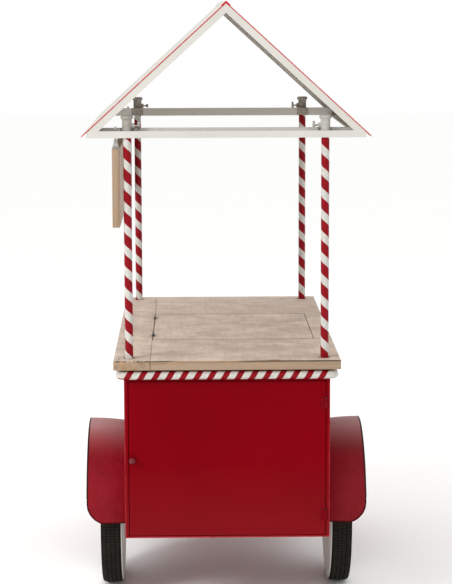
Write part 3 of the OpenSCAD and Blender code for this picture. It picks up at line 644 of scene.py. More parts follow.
def striped_paint(tree, made, phase, share, colours):
    """Two-colour banding by hand-masked enamel: crisp edges, the red laid a hair thicker."""
    wrapped = add(tree, "Math", {0: phase}, operation="FRACT")
    red = add(tree, "Math", {0: wrapped, 1: share}, operation="LESS_THAN")
    fine = cloud(tree, 9 * MM, 4)
    scuffs = cloud(tree, 14 * MM, 6, (1, 1, 0.4), 0.7)
    white = blend_colours(
        tree,
        spread(tree, fine, 0.35, 0.7),
        rgba(colours.frame_white, 0.82),
        rgba(colours.frame_white),
    )
    paint = blend_colours(
        tree,
        spread(tree, fine, 0.35, 0.7),
        rgba(colours.stripe_red, 0.72),
        rgba(colours.stripe_red),
    )
    colour = blend_colours(tree, red, white, paint)
    mask = spread(tree, scuffs, 0.71, 0.76, 0.0, 0.7)
    colour = blend_colours(tree, mask, colour, rgba(linear("#6f6a63")))
    rough = spread(tree, scuffs, 0.3, 0.75, 0.3, 0.5)
    surface(tree, colour, rough, red, 0.25, 0.15 * MM, specular_ior_level=0.12)
    return made


def pole_paint(colours, sizes):
    """White enamel tube with one red band wound round it like a barber's pole."""
    made, tree = new_material("banded_enamel_on_pole_tube")
    x, y, z = axes(tree)
    sign = add(tree, "Math", {0: x}, operation="SIGN")
    centre = add(tree, "Math", {0: sign, 1: POLE_X}, operation="MULTIPLY")
    side = add(tree, "Math", {0: x, 1: centre}, operation="SUBTRACT")
    far = add(tree, "Math", {0: y, 1: MIDDLE_Y}, operation="GREATER_THAN")
    far_y = add(tree, "Math", {0: far, 1: POLE_FAR_Y - POLE_NEAR_Y}, operation="MULTIPLY")
    near_y = add(tree, "Math", {0: y, 1: POLE_NEAR_Y}, operation="SUBTRACT")
    depth = add(tree, "Math", {0: near_y, 1: far_y}, operation="SUBTRACT")
    turn = turns_round(tree, side, depth)
    rise = add(tree, "Math", {0: z, 1: sizes.pole_stripe}, operation="DIVIDE")
    phase = add(tree, "Math", {0: rise, 1: turn}, operation="ADD")
    at_right = add(tree, "Math", {0: x, 1: 0.0}, operation="GREATER_THAN")
    at_left = add(tree, "Math", {0: 1.0, 1: at_right}, operation="SUBTRACT")
    for here, starts in ((at_left, LEFT_STARTS), (at_right, RIGHT_STARTS)):
        start = add(
            tree,
            "Math",
            {0: far, 1: starts[1] - starts[0], 2: starts[0]},
            operation="MULTIPLY_ADD",
        )
        start = add(tree, "Math", {0: start, 1: here}, operation="MULTIPLY")
        phase = add(tree, "Math", {0: phase, 1: start}, operation="ADD")
    return striped_paint(tree, made, phase, sizes.pole_red, colours)


def rail_paint(colours, sizes):
    """White enamel tube with red bands that carry on round the bends."""
    made, tree = new_material("banded_enamel_on_bumper_tube")
    x, y, z = axes(tree)
    y = add(tree, "Math", {0: y, 1: MIDDLE_Y}, operation="SUBTRACT")
    along, outward = [], []
    halves = (
        RAIL_HIGH.x - RAIL_R - RAIL_BEND,
        (RAIL_HIGH.y - RAIL_LOW.y) / 2 - RAIL_R - RAIL_BEND,
    )
    for value, half in zip((x, y), halves):
        size = add(tree, "Math", {0: value}, operation="ABSOLUTE")
        past = add(tree, "Math", {0: size, 1: half}, operation="SUBTRACT")
        outward.append(add(tree, "Math", {0: past, 1: 0.0}, operation="MAXIMUM"))
        kept = add(tree, "Math", {0: value, 1: half}, operation="MINIMUM")
        along.append(add(tree, "Math", {0: kept, 1: -half}, operation="MAXIMUM"))
    square = [
        add(tree, "Math", {0: v, 1: 2.0}, operation="POWER") for v in outward
    ]
    total = add(tree, "Math", {0: square[0], 1: square[1]}, operation="ADD")
    reach = add(tree, "Math", {0: total}, operation="SQRT")
    reach = add(tree, "Math", {0: reach, 1: RAIL_BEND}, operation="SUBTRACT")
    up = add(tree, "Math", {0: z, 1: RAIL_Z}, operation="SUBTRACT")
    turn = turns_round(tree, reach, up)
    # Length runs from the middle of the door end, so the only seam is behind.
    hand = add(tree, "Math", {0: x}, operation="SIGN")
    back = add(tree, "Math", {0: along[1], 1: halves[1]}, operation="ADD")
    swing = add(tree, "Math", {0: back, 1: hand}, operation="MULTIPLY")
    length = add(tree, "Math", {0: along[0], 1: swing}, operation="ADD")
    steps = add(tree, "Math", {0: length, 1: sizes.rail_stripe}, operation="DIVIDE")
    phase = add(tree, "Math", {0: steps, 1: turn}, operation="SUBTRACT")
    phase = add(tree, "Math", {0: phase, 1: RAIL_START}, operation="ADD")
    return striped_paint(tree, made, phase, sizes.rail_red, colours)


def gap_shade_and_arris_dirt(tree, patchy, broken):
    """Painted shade round the lid, standing for its gap, and dirt in broken shakes along the door
    end's arris.
    """
    parts = axes(tree)
    outside = []
    for axis in (0, 1):
        middle = (LID_LOW[axis] + LID_HIGH[axis]) / 2
        half = (LID_HIGH[axis] - LID_LOW[axis]) / 2 + 1.2 * MM
        off = distance(tree, parts[axis], middle)
        outside.append(add(tree, "Math", {0: off, 1: half}, operation="SUBTRACT"))
    # The gaps at the lid's left and right show by themselves, so the line there is a third as wide.
    outside[0] = add(tree, "Math", {0: outside[0], 1: 3.0}, operation="MULTIPLY")
    past = add(tree, "Math", {0: outside[0], 1: outside[1]}, operation="MAXIMUM")
    past = add(tree, "Math", {0: past}, operation="ABSOLUTE")
    # Painted shade of the gap, wider than the gap of 2.5 mm, which is lost at a low angle: dark to
    # 1.6 mm each side of its middle, and faded out at 3.4 mm.
    seam = spread(tree, past, 3.4 * MM, 1.6 * MM, 0.0, 0.85)
    low = add(tree, "Math", {0: parts[2], 1: TOP_Z - 5 * MM}, operation="SUBTRACT")
    low = spread(tree, low, 0.0, 2.5 * MM)
    front = spread(tree, parts[1], TOP_LOW.y + 6 * MM, TOP_LOW.y + 1 * MM)
    arris = add(tree, "Math", {0: low, 1: front}, operation="MULTIPLY")
    arris = add(
        tree,
        "Math",
        {0: arris, 1: spread(tree, broken, 0.5, 0.58, 0.0, 0.9)},
        operation="MULTIPLY",
    )
    both = add(tree, "Math", {0: seam, 1: arris}, operation="MAXIMUM")
    return add(
        tree,
        "Math",
        {0: both, 1: spread(tree, patchy, 0.2, 0.4, 0.55, 1.0)},
        operation="MULTIPLY",
    )


def washed_pine(name, colours, along, top_share=1.0, sides=1.0):
    """Whitewashed pine board.

    The eye sees a chalky pale face with fine grain lines, rough saw marks across them, a few
    warm knots and dark shakes, and bare tan wood on the sawn edges and the worn arris.
    """
    made, tree = new_material(name)
    # Grain lines about 3 mm apart, drawn out some thirty times along the board.
    stretch = [1.0, 1.0, 1.0]
    stretch["XYZ".index(along)] = 0.03
    across = [0.12, 0.12, 0.12]
    across["XYZ".index(along)] = 1.0
    grain = cloud(tree, 3 * MM, 5, stretch, 0.6)
    figure = cloud(tree, 24 * MM, 4, stretch, 0.6)
    saw = cloud(tree, 14 * MM, 3, across, 0.5)
    patches = cloud(tree, 120 * MM, 4, roughness=0.6)
    blotches = cloud(tree, 45 * MM, 5, roughness=0.6)
    shakes = cloud(tree, 6 * MM, 2, [s * 0.7 for s in stretch], 0.4)
    spots = [1.0, 1.0, 1.0]
    spots["XYZ".index(along)] = 0.45
    knots = add(
        tree,
        "TexVoronoi",
        {"Vector": object_place(tree, spots), "Scale": 5.2, "Randomness": 1.0},
    )
    broad_side = 0 if along == "Z" else 2
    facing = axes(tree, "Normal")[broad_side]
    facing = add(tree, "Math", {0: facing}, operation="ABSOLUTE")
    face = spread(tree, facing, 0.5, 0.95)
    wash = rgba(colours.wood_top, top_share)
    bare = rgba(colours.wood_bare, sides)
    pale = blend_colours(
        tree, spread(tree, patches, 0.38, 0.62), rgba(colours.wood_top, 0.74), wash
    )
    pale = blend_colours(
        tree, spread(tree, blotches, 0.58, 0.74, 0.0, 0.3), pale, rgba(linear("#e0d2c4"))
    )
    colour = blend_colours(tree, face, bare, pale)
    worn = spread(tree, blotches, 0.44, 0.3, 0.0, 0.25)
    colour = blend_colours(tree, worn, colour, rgba(colours.wood_bare, 0.95))
    lines = spread(tree, grain, 0.5, 0.75, 0.0, 0.24)
    colour = blend_colours(tree, lines, colour, rgba(linear("#8a7058")))
    soft = spread(tree, figure, 0.55, 0.74, 0.0, 0.12)
    colour = blend_colours(tree, soft, colour, rgba(linear("#9c7f63")))
    edge = spread(tree, face, 1.0, 0.0)
    streaks = spread(tree, figure, 0.46, 0.66, 0.0, 0.75)
    streaks = add(tree, "Math", {0: streaks, 1: edge}, operation="MULTIPLY")
    colour = blend_colours(tree, streaks, colour, rgba(linear("#84674c")))
    warm = spread(tree, blotches, 0.52, 0.66, 0.0, 0.5)
    warm = add(tree, "Math", {0: warm, 1: edge}, operation="MULTIPLY")
    colour = blend_colours(tree, warm, colour, rgba(linear("#b08a66")))
    marks = spread(tree, saw, 0.46, 0.74, 0.0, 0.3)
    colour = blend_colours(tree, marks, colour, rgba(linear("#9a8674")))
    # Painted shade round the lid's gap, and dirt along the door end's arris.
    colour = blend_colours(
        tree, gap_shade_and_arris_dirt(tree, blotches, shakes), colour, rgba(linear("#3c2f25"))
    )
    knot = spread(tree, knots, 0.075, 0.045, 0.0, 0.6)
    colour = blend_colours(tree, knot, colour, rgba(linear("#7a5232")))
    split = spread(tree, shakes, 0.73, 0.77, 0.0, 0.8)
    colour = blend_colours(tree, split, colour, rgba(linear("#463526")))
    hollow = add(tree, "Math", {0: grain, 1: split}, operation="SUBTRACT")
    hollow = add(tree, "Math", {0: hollow, 1: marks}, operation="SUBTRACT")
    rough = spread(tree, grain, 0.3, 0.7, 0.66, 0.86)
    surface(tree, colour, rough, hollow, 0.22, 0.4 * MM, specular_ior_level=0.2)
    return made


def roof_enamel(colours):
    """White enamel on thin roof sheet, with a red line along the cut edges.

    The eye sees chalky white with grey dust in broad patches, a taupe underside that is
    painted shade, and a thin bright red edge.
    """
    made, tree = new_material("white_enamel_roof_sheet_with_red_edge")
    parts = axes(tree)
    fine = cloud(tree, 18 * MM, 4)
    broad = cloud(tree, 200 * MM, 4)
    dust = spread(tree, broad, 0.35, 0.7, 0.0, 0.5)
    colour = blend_colours(
        tree, dust, rgba(colours.frame_white, 0.88), rgba(colours.frame_white, 0.74)
    )
    # Painted shade: the underside is tinted taupe.
    underside_shade = spread(tree, axes(tree, "Normal")[2], -0.2, -0.5)
    colour = blend_colours(tree, underside_shade, colour, rgba(linear("#b9b2a8")))
    off = distance(tree, parts[1], MIDDLE_Y)
    half = (SHEETS_HIGH.y - SHEETS_LOW.y) / 2
    edge = add(tree, "Math", {0: off, 1: half - 1.2 * MM}, operation="GREATER_THAN")
    patchy = spread(tree, fine, 0.34, 0.44, 0.75, 1.0)
    edge = add(tree, "Math", {0: edge, 1: patchy}, operation="MULTIPLY")
    colour = blend_colours(tree, edge, colour, rgba(linear("#b8141f")))
    rough = spread(tree, fine, 0.3, 0.7, 0.45, 0.62)
    surface(tree, colour, rough, broad, 0.1, 0.4 * MM, specular_ior_level=0.08)
    return made


def tread_rubber(colours):
    """Moulded black rubber: matt, with brown dust in patches, paler on the tread blocks' tops."""
    made, tree = new_material("moulded_black_tyre_rubber")
    dust = cloud(tree, 35 * MM, 5)
    fine = cloud(tree, 3 * MM, 4)
    parts = axes(tree)
    off_y = add(tree, "Math", {0: parts[1], 1: WHEEL_Y}, operation="SUBTRACT")
    off_z = add(tree, "Math", {0: parts[2], 1: WHEEL_R}, operation="SUBTRACT")
    flat = add(tree, "CombineXYZ", {0: off_y, 1: off_z})
    reach = add(tree, "VectorMath", {0: flat}, out=1, operation="LENGTH")
    tops = spread(tree, reach, WHEEL_R - 1.4 * MM, WHEEL_R - 0.4 * MM)
    colour = blend_colours(
        tree,
        spread(tree, dust, 0.4, 0.75, 0.0, 0.4),
        rgba(colours.rubber),
        rgba(linear("#2e2a25")),
    )
    colour = blend_colours(
        tree, spread(tree, fine, 0.55, 0.8, 0.0, 0.4), colour, rgba(linear("#2a2825"))
    )
    # Paler in patches on the outer faces of the tread blocks.
    paler_tops = spread(tree, fine, 0.38, 0.66, 0.1, 0.85)
    paler_tops = add(tree, "Math", {0: paler_tops, 1: tops}, operation="MULTIPLY")
    colour = blend_colours(tree, paler_tops, colour, rgba(linear("#3b352d")))
    rough = spread(tree, fine, 0.3, 0.7, 0.72, 0.92)
    surface(tree, colour, rough, fine, 0.3, 0.3 * MM, specular_ior_level=0.12)
    return made


def soft_rubber(colours):
    """Smooth black rubber of the grip and the feet: a low sheen with a handled bloom."""
    made, tree = new_material("smooth_black_rubber")
    bloom = cloud(tree, 20 * MM, 4)
    fine = cloud(tree, 1.6 * MM, 2)
    colour = blend_colours(
        tree,
        spread(tree, bloom, 0.4, 0.7, 0.0, 0.5),
        rgba(colours.rubber),
        rgba(linear("#2e2c2a")),
    )
    rough = spread(tree, bloom, 0.3, 0.7, 0.5, 0.72)
    surface(tree, colour, rough, fine, 0.15, 0.2 * MM)
    return made


def metal(name, light, dark, roughness, brushed=(1, 1, 1)):
    """Bare or plated metal: clouded reflections, darker tarnish, and brush lines on some."""
    made, tree = new_material(name)
    patches = cloud(tree, 12 * MM, 5)
    lines = cloud(tree, 1.2 * MM, 3, brushed)
    colour = blend_colours(
        tree, spread(tree, patches, 0.35, 0.7), rgba(linear(dark)), rgba(linear(light))
    )
    stain = spread(tree, patches, 0.6, 0.78, 0.0, 0.35)
    colour = blend_colours(tree, stain, colour, rgba(linear("#4c4842")))
    rough = spread(tree, lines, 0.3, 0.7, roughness - 0.08, roughness + 0.14)
    surface(tree, colour, rough, lines, 0.15, 0.1 * MM, metallic=1.0)
    return made


def moulded_plastic():
    """Moulded black plastic of the catch: fine spark grain and an even low sheen."""
    made, tree = new_material("moulded_black_plastic")
    grain = cloud(tree, 0.9 * MM, 2)
    colour = blend_colours(
        tree,
        spread(tree, cloud(tree, 14 * MM, 3), 0.3, 0.7),
        rgba(linear("#191919")),
        rgba(linear("#242322")),
    )
    rough = spread(tree, grain, 0.3, 0.7, 0.45, 0.6)
    surface(tree, colour, rough, grain, 0.2, 0.1 * MM)
    return made


def studio_floor():
    """Matt studio paper: almost white, with the faintest mottle."""
    made, tree = new_material("matt_studio_paper")
    mottle = cloud(tree, 900 * MM, 2)
    colour = blend_colours(
        tree, mottle, rgba(linear("#fcfcfb")), rgba(linear("#fefefd"))
    )
    surface(tree, colour, 0.9, specular_ior_level=0.1)
    return made


FINISH = {}


def paint(material, *names):
    """Gives frame nodes this finish."""
    for name in names:
        for slot in NODES[name].material_slots:
            slot.material = material


class CART_OT_finishes(bpy.types.Operator):
    """Makes the finishes and gives them to the frame's nodes."""

    bl_idname = "cart.finishes"
    bl_label = "Finishes"

    def execute(self, context):
        sizes, colours = context.scene.cart_sizes, context.scene.cart_colours
        red, white = colours.cabinet_red, colours.frame_white
        made = {
            "cabinet": cabinet_enamel(colours),
            "red": enamel(
                "satin_red_enamel_on_steel_tube",
                rgba(red),
                rgba(linear("#a3202c")),
                rgba(red, 0.8),
                0.36,
            ),
            "fender": fender_enamel(colours),
            # Painted shade: the rolled lips are a dark red that stands for the shade under the
            # bead.
            "lip": enamel(
                "dark_red_enamel_with_painted_shade_on_fender_lip",
                rgba(linear("#3a0a0e")),
                rgba(linear("#5c1a1e")),
                rgba(linear("#2a080b")),
                0.45,
            ),
            "knob": enamel(
                "gloss_red_enamel_on_turned_knob",
                rgba(linear("#6a0a14")),
                rgba(linear("#7c1822")),
                rgba(linear("#54060e")),
                0.24,
                coat=0.12,
                gloss=0.25,
            ),
            "white": enamel(
                "satin_white_enamel_on_flat_bar",
                rgba(white),
                rgba(white, 1.06),
                rgba(white, 0.88),
                0.42,
                chips=0.35,
            ),
            "wheel": enamel(
                "white_enamel_on_pressed_wheel_disc",
                rgba(white),
                rgba(white, 1.06),
                rgba(white, 0.86),
                0.34,
            ),
            "sleeves": sleeve_enamel_with_painted_shade(colours),
            "poles": pole_paint(colours, sizes),
            "rail": rail_paint(colours, sizes),
            "roof": roof_enamel(colours),
            "pine_across": washed_pine("whitewashed_pine_laid_across", colours, "X"),
            "pine_far": washed_pine(
                "greyer_whitewashed_pine_laid_across", colours, "X", 0.86, 0.95
            ),
            "pine_along": washed_pine("whitewashed_pine_laid_along", colours, "Y"),
            "sign": washed_pine("whitewashed_pine_sign_board", colours, "Z", 0.92, 1.0),
            "tyre": tread_rubber(colours),
            "rubber": soft_rubber(colours),
            "zinc": metal("dull_zinc_plated_steel", "#c9c7c0", "#9d9b95", 0.42),
            "iron": metal("darkened_steel_hinge", "#6c6862", "#3b3834", 0.5),
            "stainless": metal(
                "brushed_stainless_steel", "#c4c4c0", "#a4a4a0", 0.3, (1, 0.04, 1)
            ),
            "bronze": metal("turned_bearing_bronze", "#b88a4e", "#8a6234", 0.34),
            "plastic": moulded_plastic(),
        }
        FINISH.update(made)
        for finish, names in DRESSED.items():
            paint(made[finish], *names)
        return {"FINISHED"}


DRESSED = {
    "cabinet": (
        "cabinet_shell",
        "door_panel",
        "door_frame",
        "cabinet_floor",
        "shelf",
    ),
    "red": (
        "chassis",
        "legs",
        "shelf_brackets",
        "frame_hinge_leaves",
        "door_hinge_leaves",
        "pole_sockets",
        "push_handle",
    ),
    "fender": ("left_fender", "right_fender"),
    "knob": ("door_knob",),
    "white": (
        "near_gable",
        "far_gable",
        "roof_rails",
    ),
    "sleeves": ("cross_bars", "sleeve_collars"),
    "wheel": ("left_wheel", "right_wheel", "left_hub_cap", "right_hub_cap"),
    "poles": ("poles",),
    "rail": ("bumper_rail",),
    "roof": ("roof_sheets", "ridge_cap"),
    "pine_across": ("near_planks", "lid_planks"),
    "pine_far": ("far_planks",),
    "pine_along": ("side_board", "right_strip", "battens", "lid_battens"),
    "sign": ("sign_board",),
    "tyre": ("left_tyre", "right_tyre"),
    "rubber": ("feet", "handle_grip"),
    "zinc": (
        "axle",
        "axle_spacers",
        "axle_end_fasteners",
        "fender_screws",
        "strike_plate",
        "handle_screws",
        "wing_bolt_near_left",
        "wing_bolt_near_right",
        "wing_bolt_far_left",
        "wing_bolt_far_right",
        "sign_hangers",
        "sign_eye_bolts",
    ),
    "iron": (
        "door_hinge_pins",
        "board_lid_leaves",
        "moving_lid_leaves",
        "lid_hinge_pins",
    ),
    "stainless": ("bin",),
    "bronze": ("left_bush", "right_bush"),
    "plastic": ("door_catch",),
}


class CART_OT_boards(bpy.types.Operator):
    """Worktop boards and lid, sawn square and worn round at their outer edges."""

    bl_idname = "cart.boards"
    bl_label = "Worktop boards"

    def execute(self, context):
        sizes = context.scene.cart_sizes
        near, far = TOP_LOW.y, FAR_HIGH.y
        left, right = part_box("side_board")[0].x, TOP_HIGH.x

        def at_outside(point):
            return (
                min(point.y - near, far - point.y, point.x - left, right - point.x)
                < 0.1 * MM
            )

        share = sizes.joint_arris / sizes.arris
        boards = (
            ("near_planks", "worn_near_boards", "pine_across", "cart"),
            ("far_planks", "worn_far_boards", "pine_far", "cart"),
            ("side_board", "worn_side_board", "pine_along", "cart"),
            ("right_strip", "worn_right_strip", "pine_along", "cart"),
            ("lid_planks", "worn_lid_boards", "pine_across", "lid"),
        )
        for node, name, finish, body in boards:
            board = copy_of(node)
            ease_edges(board, sizes.arris, at_outside, share)
            smooth(board)
            finish_piece(board, name, body, FINISH[finish], (node,))
        return {"FINISHED"}


class CART_OT_sign(bpy.types.Operator):
    """Hanging sign board with eased edges and no lettering."""

    bl_idname = "cart.sign"
    bl_label = "Sign board"

    def execute(self, context):
        board = copy_of("sign_board")
        ease_edges(board, context.scene.cart_sizes.arris * 0.8, lambda point: True, 1.0)
        smooth(board)
        finish_piece(board, "eased_sign_board", "sign", FINISH["sign"], ("sign_board",))
        return {"FINISHED"}


class CART_OT_tyres(bpy.types.Operator):
    """Solid tyres with a rounded shoulder and four rows of slanting blocks."""

    bl_idname = "cart.tyres"
    bl_label = "Tyres"

    def execute(self, context):
        sizes = context.scene.cart_sizes
        low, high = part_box("right_tyre")
        hub = (low + high) / 2
        outer = (high.z - low.z) / 2
        width = high.x - low.x
        band = outer - sizes.tread_depth
        wall = 12 * MM - sizes.tread_depth
        shoulder = 4 * MM
        bpy.ops.object.select_all(action="DESELECT")
        bpy.ops.mesh.primitive_cylinder_add(
            vertices=128,
            radius=band,
            depth=width,
            location=hub,
            rotation=(0, math.pi / 2, 0),
        )
        carcass = bpy.context.active_object
        settle(carcass)
        choose("FACE", lambda f: abs(f.normal.x) > 0.9)
        bpy.ops.mesh.inset(thickness=wall)
        bpy.ops.mesh.delete(type="FACE")
        choose("EDGE", lambda e: self.on_bore(carcass.data, e, hub, band - wall))
        bpy.ops.mesh.bridge_edge_loops()
        choose("EDGE", lambda e: self.on_bore(carcass.data, e, hub, band))
        bpy.ops.mesh.bevel(offset=shoulder, segments=4)
        bpy.ops.object.mode_set(mode="OBJECT")
        point_outwards(carcass)
        blocks = self.blocks(sizes, hub, band, outer, width)
        pick(blocks, carcass)
        bpy.ops.object.join()
        smooth(carcass, 30)
        other = mirrored(carcass, (-1, 1, 1), (0, hub.y, hub.z))
        smooth(other, 30)
        for piece, side in ((carcass, "right"), (other, "left")):
            finish_piece(
                piece,
                side + "_treaded_tyre",
                side + "_wheel_unit",
                FINISH["tyre"],
                (side + "_tyre",),
            )
        return {"FINISHED"}

    @staticmethod
    def on_bore(mesh, edge, hub, radius):
        """An edge that runs round the axle at this radius."""
        points = ends(mesh, edge)
        if abs(points[0].x - points[1].x) > 0.5 * MM:
            return False
        return all(
            abs(math.hypot(p.y - hub.y, p.z - hub.z) - radius) < 0.3 * MM
            for p in points
        )

    @staticmethod
    def blocks(sizes, hub, band, outer, width):
        """The tread: one row of blocks across the crown, spun round the axle."""
        crown = width - 10 * MM
        pitch = FULL_TURN * outer / sizes.tread_pitches
        rows, gap, sunk = 4, 2.2 * MM, 0.6 * MM
        chamfer = 0.8 * MM
        block_w = crown / rows - gap
        height = outer - band - 0.15 * MM + sunk
        row = []
        for i in range(rows):
            x = hub.x - crown / 2 + (i + 0.5) * crown / rows
            slip = pitch / 2 * (i % 2)
            bpy.ops.object.select_all(action="DESELECT")
            bpy.ops.mesh.primitive_cube_add(
                size=1,
                location=(x, hub.y, hub.z + band - sunk + height / 2),
                rotation=(0, 0, sizes.tread_slant * (1 if i % 2 else -1)),
                scale=(block_w, pitch * 0.62, height),
            )
            block = bpy.context.active_object
            settle(block)
            top = hub.z + band - sunk + height
            choose("FACE", lambda f: f.normal.z > 0.9)
            bpy.ops.mesh.bevel(offset=chamfer, segments=1)
            choose("FACE", lambda f: f.normal.z < -0.9)
            bpy.ops.mesh.delete(type="FACE")
            bpy.ops.mesh.select_all(action="SELECT")
            bpy.ops.transform.rotate(
                value=slip / top,
                orient_axis="X",
                center_override=hub,
            )
            bpy.ops.object.mode_set(mode="OBJECT")
            row.append(block)
        pick(*row)
        bpy.ops.object.join()
        spun = bpy.context.active_object
        count = sizes.tread_pitches
        edit_whole()
        bpy.ops.mesh.spin(
            steps=count - 1,
            dupli=True,
            angle=FULL_TURN * (count - 1) / count,
            center=hub,
            axis=(1, 0, 0),
        )
        bpy.ops.object.mode_set(mode="OBJECT")
        return spun


class CART_OT_fender_lips(bpy.types.Operator):
    """Rolled lip that carries the fender's bead round its lower corners to the cabinet."""

    bl_idname = "cart.fender_lips"
    bl_label = "Fender lips"

    def execute(self, context):
        radius = context.scene.cart_sizes.lip
        low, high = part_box("right_fender")
        wheel_y = (low.y + high.y) / 2
        crown = 10 * MM
        arch = (high.y - low.y) / 2
        corner = 75 * MM
        inset = 3 * MM
        lowered = 4 * MM
        sunk = 0.75 * MM
        middle = Vector((high.x - corner, 0, low.z + corner - lowered))
        bend = corner - inset
        # The lip leaves the arch's bead this far up the arch.
        leaving, bead = math.radians(16), 2.5 * MM
        rise = low.z + (arch - bead) * math.sin(leaving)
        start = math.asin((rise - middle.z) / bend)
        stop = -math.asin((middle.z - low.z - radius) / bend)
        flat = [
            (middle.x + bend * math.cos(a), middle.z + bend * math.sin(a))
            for a in [start + (stop - start) * i / 16 for i in range(17)]
        ]
        end_x = low.x + radius
        reach = flat[-1][0] - end_x
        flat += [(flat[-1][0] - reach * i / 4, flat[-1][1]) for i in range(1, 5)]
        path = []
        for x, z in flat:
            share = (x - low.x) / (high.x - inset - low.x)
            round_r = arch - crown * (1 - share) ** 2 - sunk
            y = wheel_y - math.sqrt(round_r**2 - (z - low.z) ** 2)
            path.append((x, y, z))
        bpy.ops.object.select_all(action="DESELECT")
        bpy.ops.curve.primitive_nurbs_path_add()
        lip = bpy.context.active_object
        lip.location = (0, 0, 0)
        curve = lip.data
        curve.splines.clear()
        line = curve.splines.new("POLY")
        line.points.add(len(path) - 1)
        for point, place in zip(line.points, path):
            point.co = (*place, 1.0)
        curve.bevel_depth = radius
        curve.bevel_resolution = 3
        curve.use_fill_caps = True
        pick(lip)
        bpy.ops.object.convert(target="MESH")
        lip = bpy.context.active_object
        settle(lip)
        point_outwards(lip)
        corners = {
            "right_near": (1, 1),
            "left_near": (-1, 1),
            "right_far": (1, -1),
            "left_far": (-1, -1),
        }
        for name, (side, end) in corners.items():
            piece = mirrored(lip, (side, end, 1), (0, wheel_y, 0))
            point_outwards(piece)
            smooth(piece, 40)
            finish_piece(piece, name + "_fender_lip", "cart", FINISH["lip"])
        bpy.data.objects.remove(lip)
        return {"FINISHED"}


class CART_OT_grip(bpy.types.Operator):
    """Ribbed rubber sleeve on the push handle."""

    bl_idname = "cart.grip"
    bl_label = "Handle grip"

    def execute(self, context):
        low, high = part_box("handle_grip")
        middle = (low + high) / 2
        outer = (high.z - low.z) / 2
        length = high.x - low.x
        ribs = context.scene.cart_sizes.grip_ribs
        bpy.ops.object.select_all(action="DESELECT")
        bpy.ops.mesh.primitive_cylinder_add(
            vertices=40,
            radius=outer,
            depth=length,
            location=middle,
            rotation=(0, math.pi / 2, 0),
        )
        grip = bpy.context.active_object
        settle(grip)
        collar = 12 * MM
        first = low.x + collar
        step = (length - 2 * collar) / ribs
        for i in range(2 * ribs + 1):
            edit("FACE")
            bpy.ops.mesh.select_all(action="SELECT")
            bpy.ops.mesh.bisect(
                plane_co=(first + i * step / 2, middle.y, middle.z), plane_no=(1, 0, 0)
            )
        bpy.ops.object.mode_set(mode="OBJECT")

        def in_groove(face):
            place = (face.center.x - first) / step
            return abs(face.normal.x) < 0.5 and 0 < place < ribs and place % 1 > 0.5

        groove_depth, end_round = 1.3 * MM, 2.2 * MM
        shrink = 1 - groove_depth / outer
        choose("FACE", in_groove)
        bpy.ops.mesh.inset(thickness=0.5 * MM, use_boundary=True)
        bpy.ops.transform.resize(value=(1, shrink, shrink), center_override=middle)
        choose(
            "EDGE",
            lambda e: all(
                min(p.x - low.x, high.x - p.x) < 0.1 * MM
                for p in ends(grip.data, e)
            ),
        )
        bpy.ops.mesh.bevel(offset=end_round, segments=3)
        bpy.ops.object.mode_set(mode="OBJECT")
        point_outwards(grip)
        smooth(grip, 40)
        finish_piece(
            grip,
            "ribbed_handle_grip",
            "cart",
            FINISH["rubber"],
            ("handle_grip",),
        )
        return {"FINISHED"}


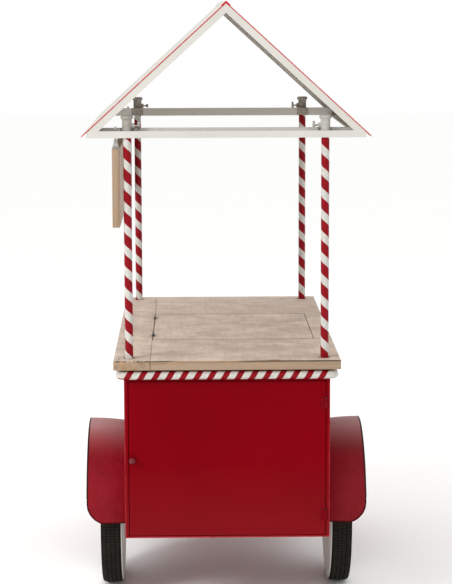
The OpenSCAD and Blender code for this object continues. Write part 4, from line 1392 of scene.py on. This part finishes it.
class CART_OT_stage(bpy.types.Operator):
    """Pale floor, soft studio light and the camera."""

    bl_idname = "cart.stage"
    bl_label = "Stage"

    def execute(self, context):
        scene = context.scene
        scene.view_settings.view_transform = "Standard"
        bpy.ops.object.select_all(action="DESELECT")
        bpy.ops.mesh.primitive_plane_add(size=60, location=(0, 0, 0))
        floor = bpy.context.active_object
        floor.name = "studio_floor"
        edit("FACE")
        bpy.ops.mesh.select_all(action="SELECT")
        bpy.ops.mesh.subdivide(number_cuts=3)
        bpy.ops.object.mode_set(mode="OBJECT")
        floor.data.materials.append(studio_floor())

        world = bpy.data.worlds.new("soft_white_room")
        scene.world = world
        world.use_nodes = True
        tree = world.node_tree
        tree.nodes.clear()
        glow = add(
            tree, "Background", {"Color": rgba(linear("#ffffff")), "Strength": 1.0}
        )
        add(tree, "OutputWorld", {"Surface": glow})

        aim = Vector((0, -0.1, 0.9))
        lamps = (
            ("key_softbox", (-4.8, -4.2, 3.9), 2.0, 190),
            ("right_fill_softbox", (4.2, -4.0, 2.2), 3.0, 2),
            ("back_softbox", (-1.5, 4.5, 4.5), 3.0, 40),
        )
        for name, place, size, power in lamps:
            bpy.ops.object.light_add(type="AREA", location=place)
            lamp = bpy.context.active_object
            lamp.name = name
            lamp.data.size = size
            lamp.data.energy = power
            lamp.rotation_euler = (aim - lamp.location).to_track_quat("-Z", "Y").to_euler()
        self.camera(scene)
        return {"FINISHED"}

    @staticmethod
    def camera(scene):
        """A long lens a little above eye level, about six metres from the door end."""
        place = Vector((-0.1166, -6.9856, 1.9669))
        turned, down, rolled = 0.01822, 0.14302, -0.00279
        forward = Vector(
            (
                math.sin(turned) * math.cos(down),
                math.cos(turned) * math.cos(down),
                -math.sin(down),
            )
        )
        level = Vector((math.cos(turned), -math.sin(turned), 0))
        upward = level.cross(forward)
        right = math.cos(rolled) * level + math.sin(rolled) * upward
        top = -math.sin(rolled) * level + math.cos(rolled) * upward
        bpy.ops.object.camera_add()
        camera = bpy.context.active_object
        camera.name = "long_lens_camera"
        turn = Matrix((right, top, -forward)).transposed().to_4x4()
        camera.matrix_world = Matrix.Translation(place) @ turn
        camera.data.sensor_fit = "VERTICAL"
        camera.data.sensor_height = 24
        camera.data.lens = 81.04
        camera.data.clip_end = 200
        scene.camera = camera


class CART_PT_panel(bpy.types.Panel):
    """Lists the cart's pieces, sizes and colours."""

    bl_idname = "CART_PT_panel"
    bl_label = "Push vending cart"
    bl_space_type = "VIEW_3D"
    bl_region_type = "UI"
    bl_category = "Cart"

    def draw(self, context):
        layout = self.layout
        for group in (context.scene.cart_sizes, context.scene.cart_colours):
            column = layout.column()
            for name in group.__annotations__:
                column.prop(group, name)
        for operator in OPERATORS:
            layout.operator(operator.bl_idname)


OPERATORS = (
    CART_OT_stage,
    CART_OT_finishes,
    CART_OT_boards,
    CART_OT_sign,
    CART_OT_tyres,
    CART_OT_fender_lips,
    CART_OT_grip,
)
CLASSES = (CartSizes, CartColours, *OPERATORS, CART_PT_panel)


def register():
    for kind in CLASSES:
        bpy.utils.register_class(kind)
    bpy.types.Scene.cart_sizes = PointerProperty(type=CartSizes)
    bpy.types.Scene.cart_colours = PointerProperty(type=CartColours)


def unregister():
    del bpy.types.Scene.cart_colours
    del bpy.types.Scene.cart_sizes
    for kind in reversed(CLASSES):
        bpy.utils.unregister_class(kind)


def main():
    register()
    bpy.ops.cart.stage()
    bpy.ops.cart.finishes()
    bpy.ops.cart.boards()
    bpy.ops.cart.sign()
    bpy.ops.cart.tyres()
    bpy.ops.cart.fender_lips()
    bpy.ops.cart.grip()


if __name__ == "__main__":
    main()
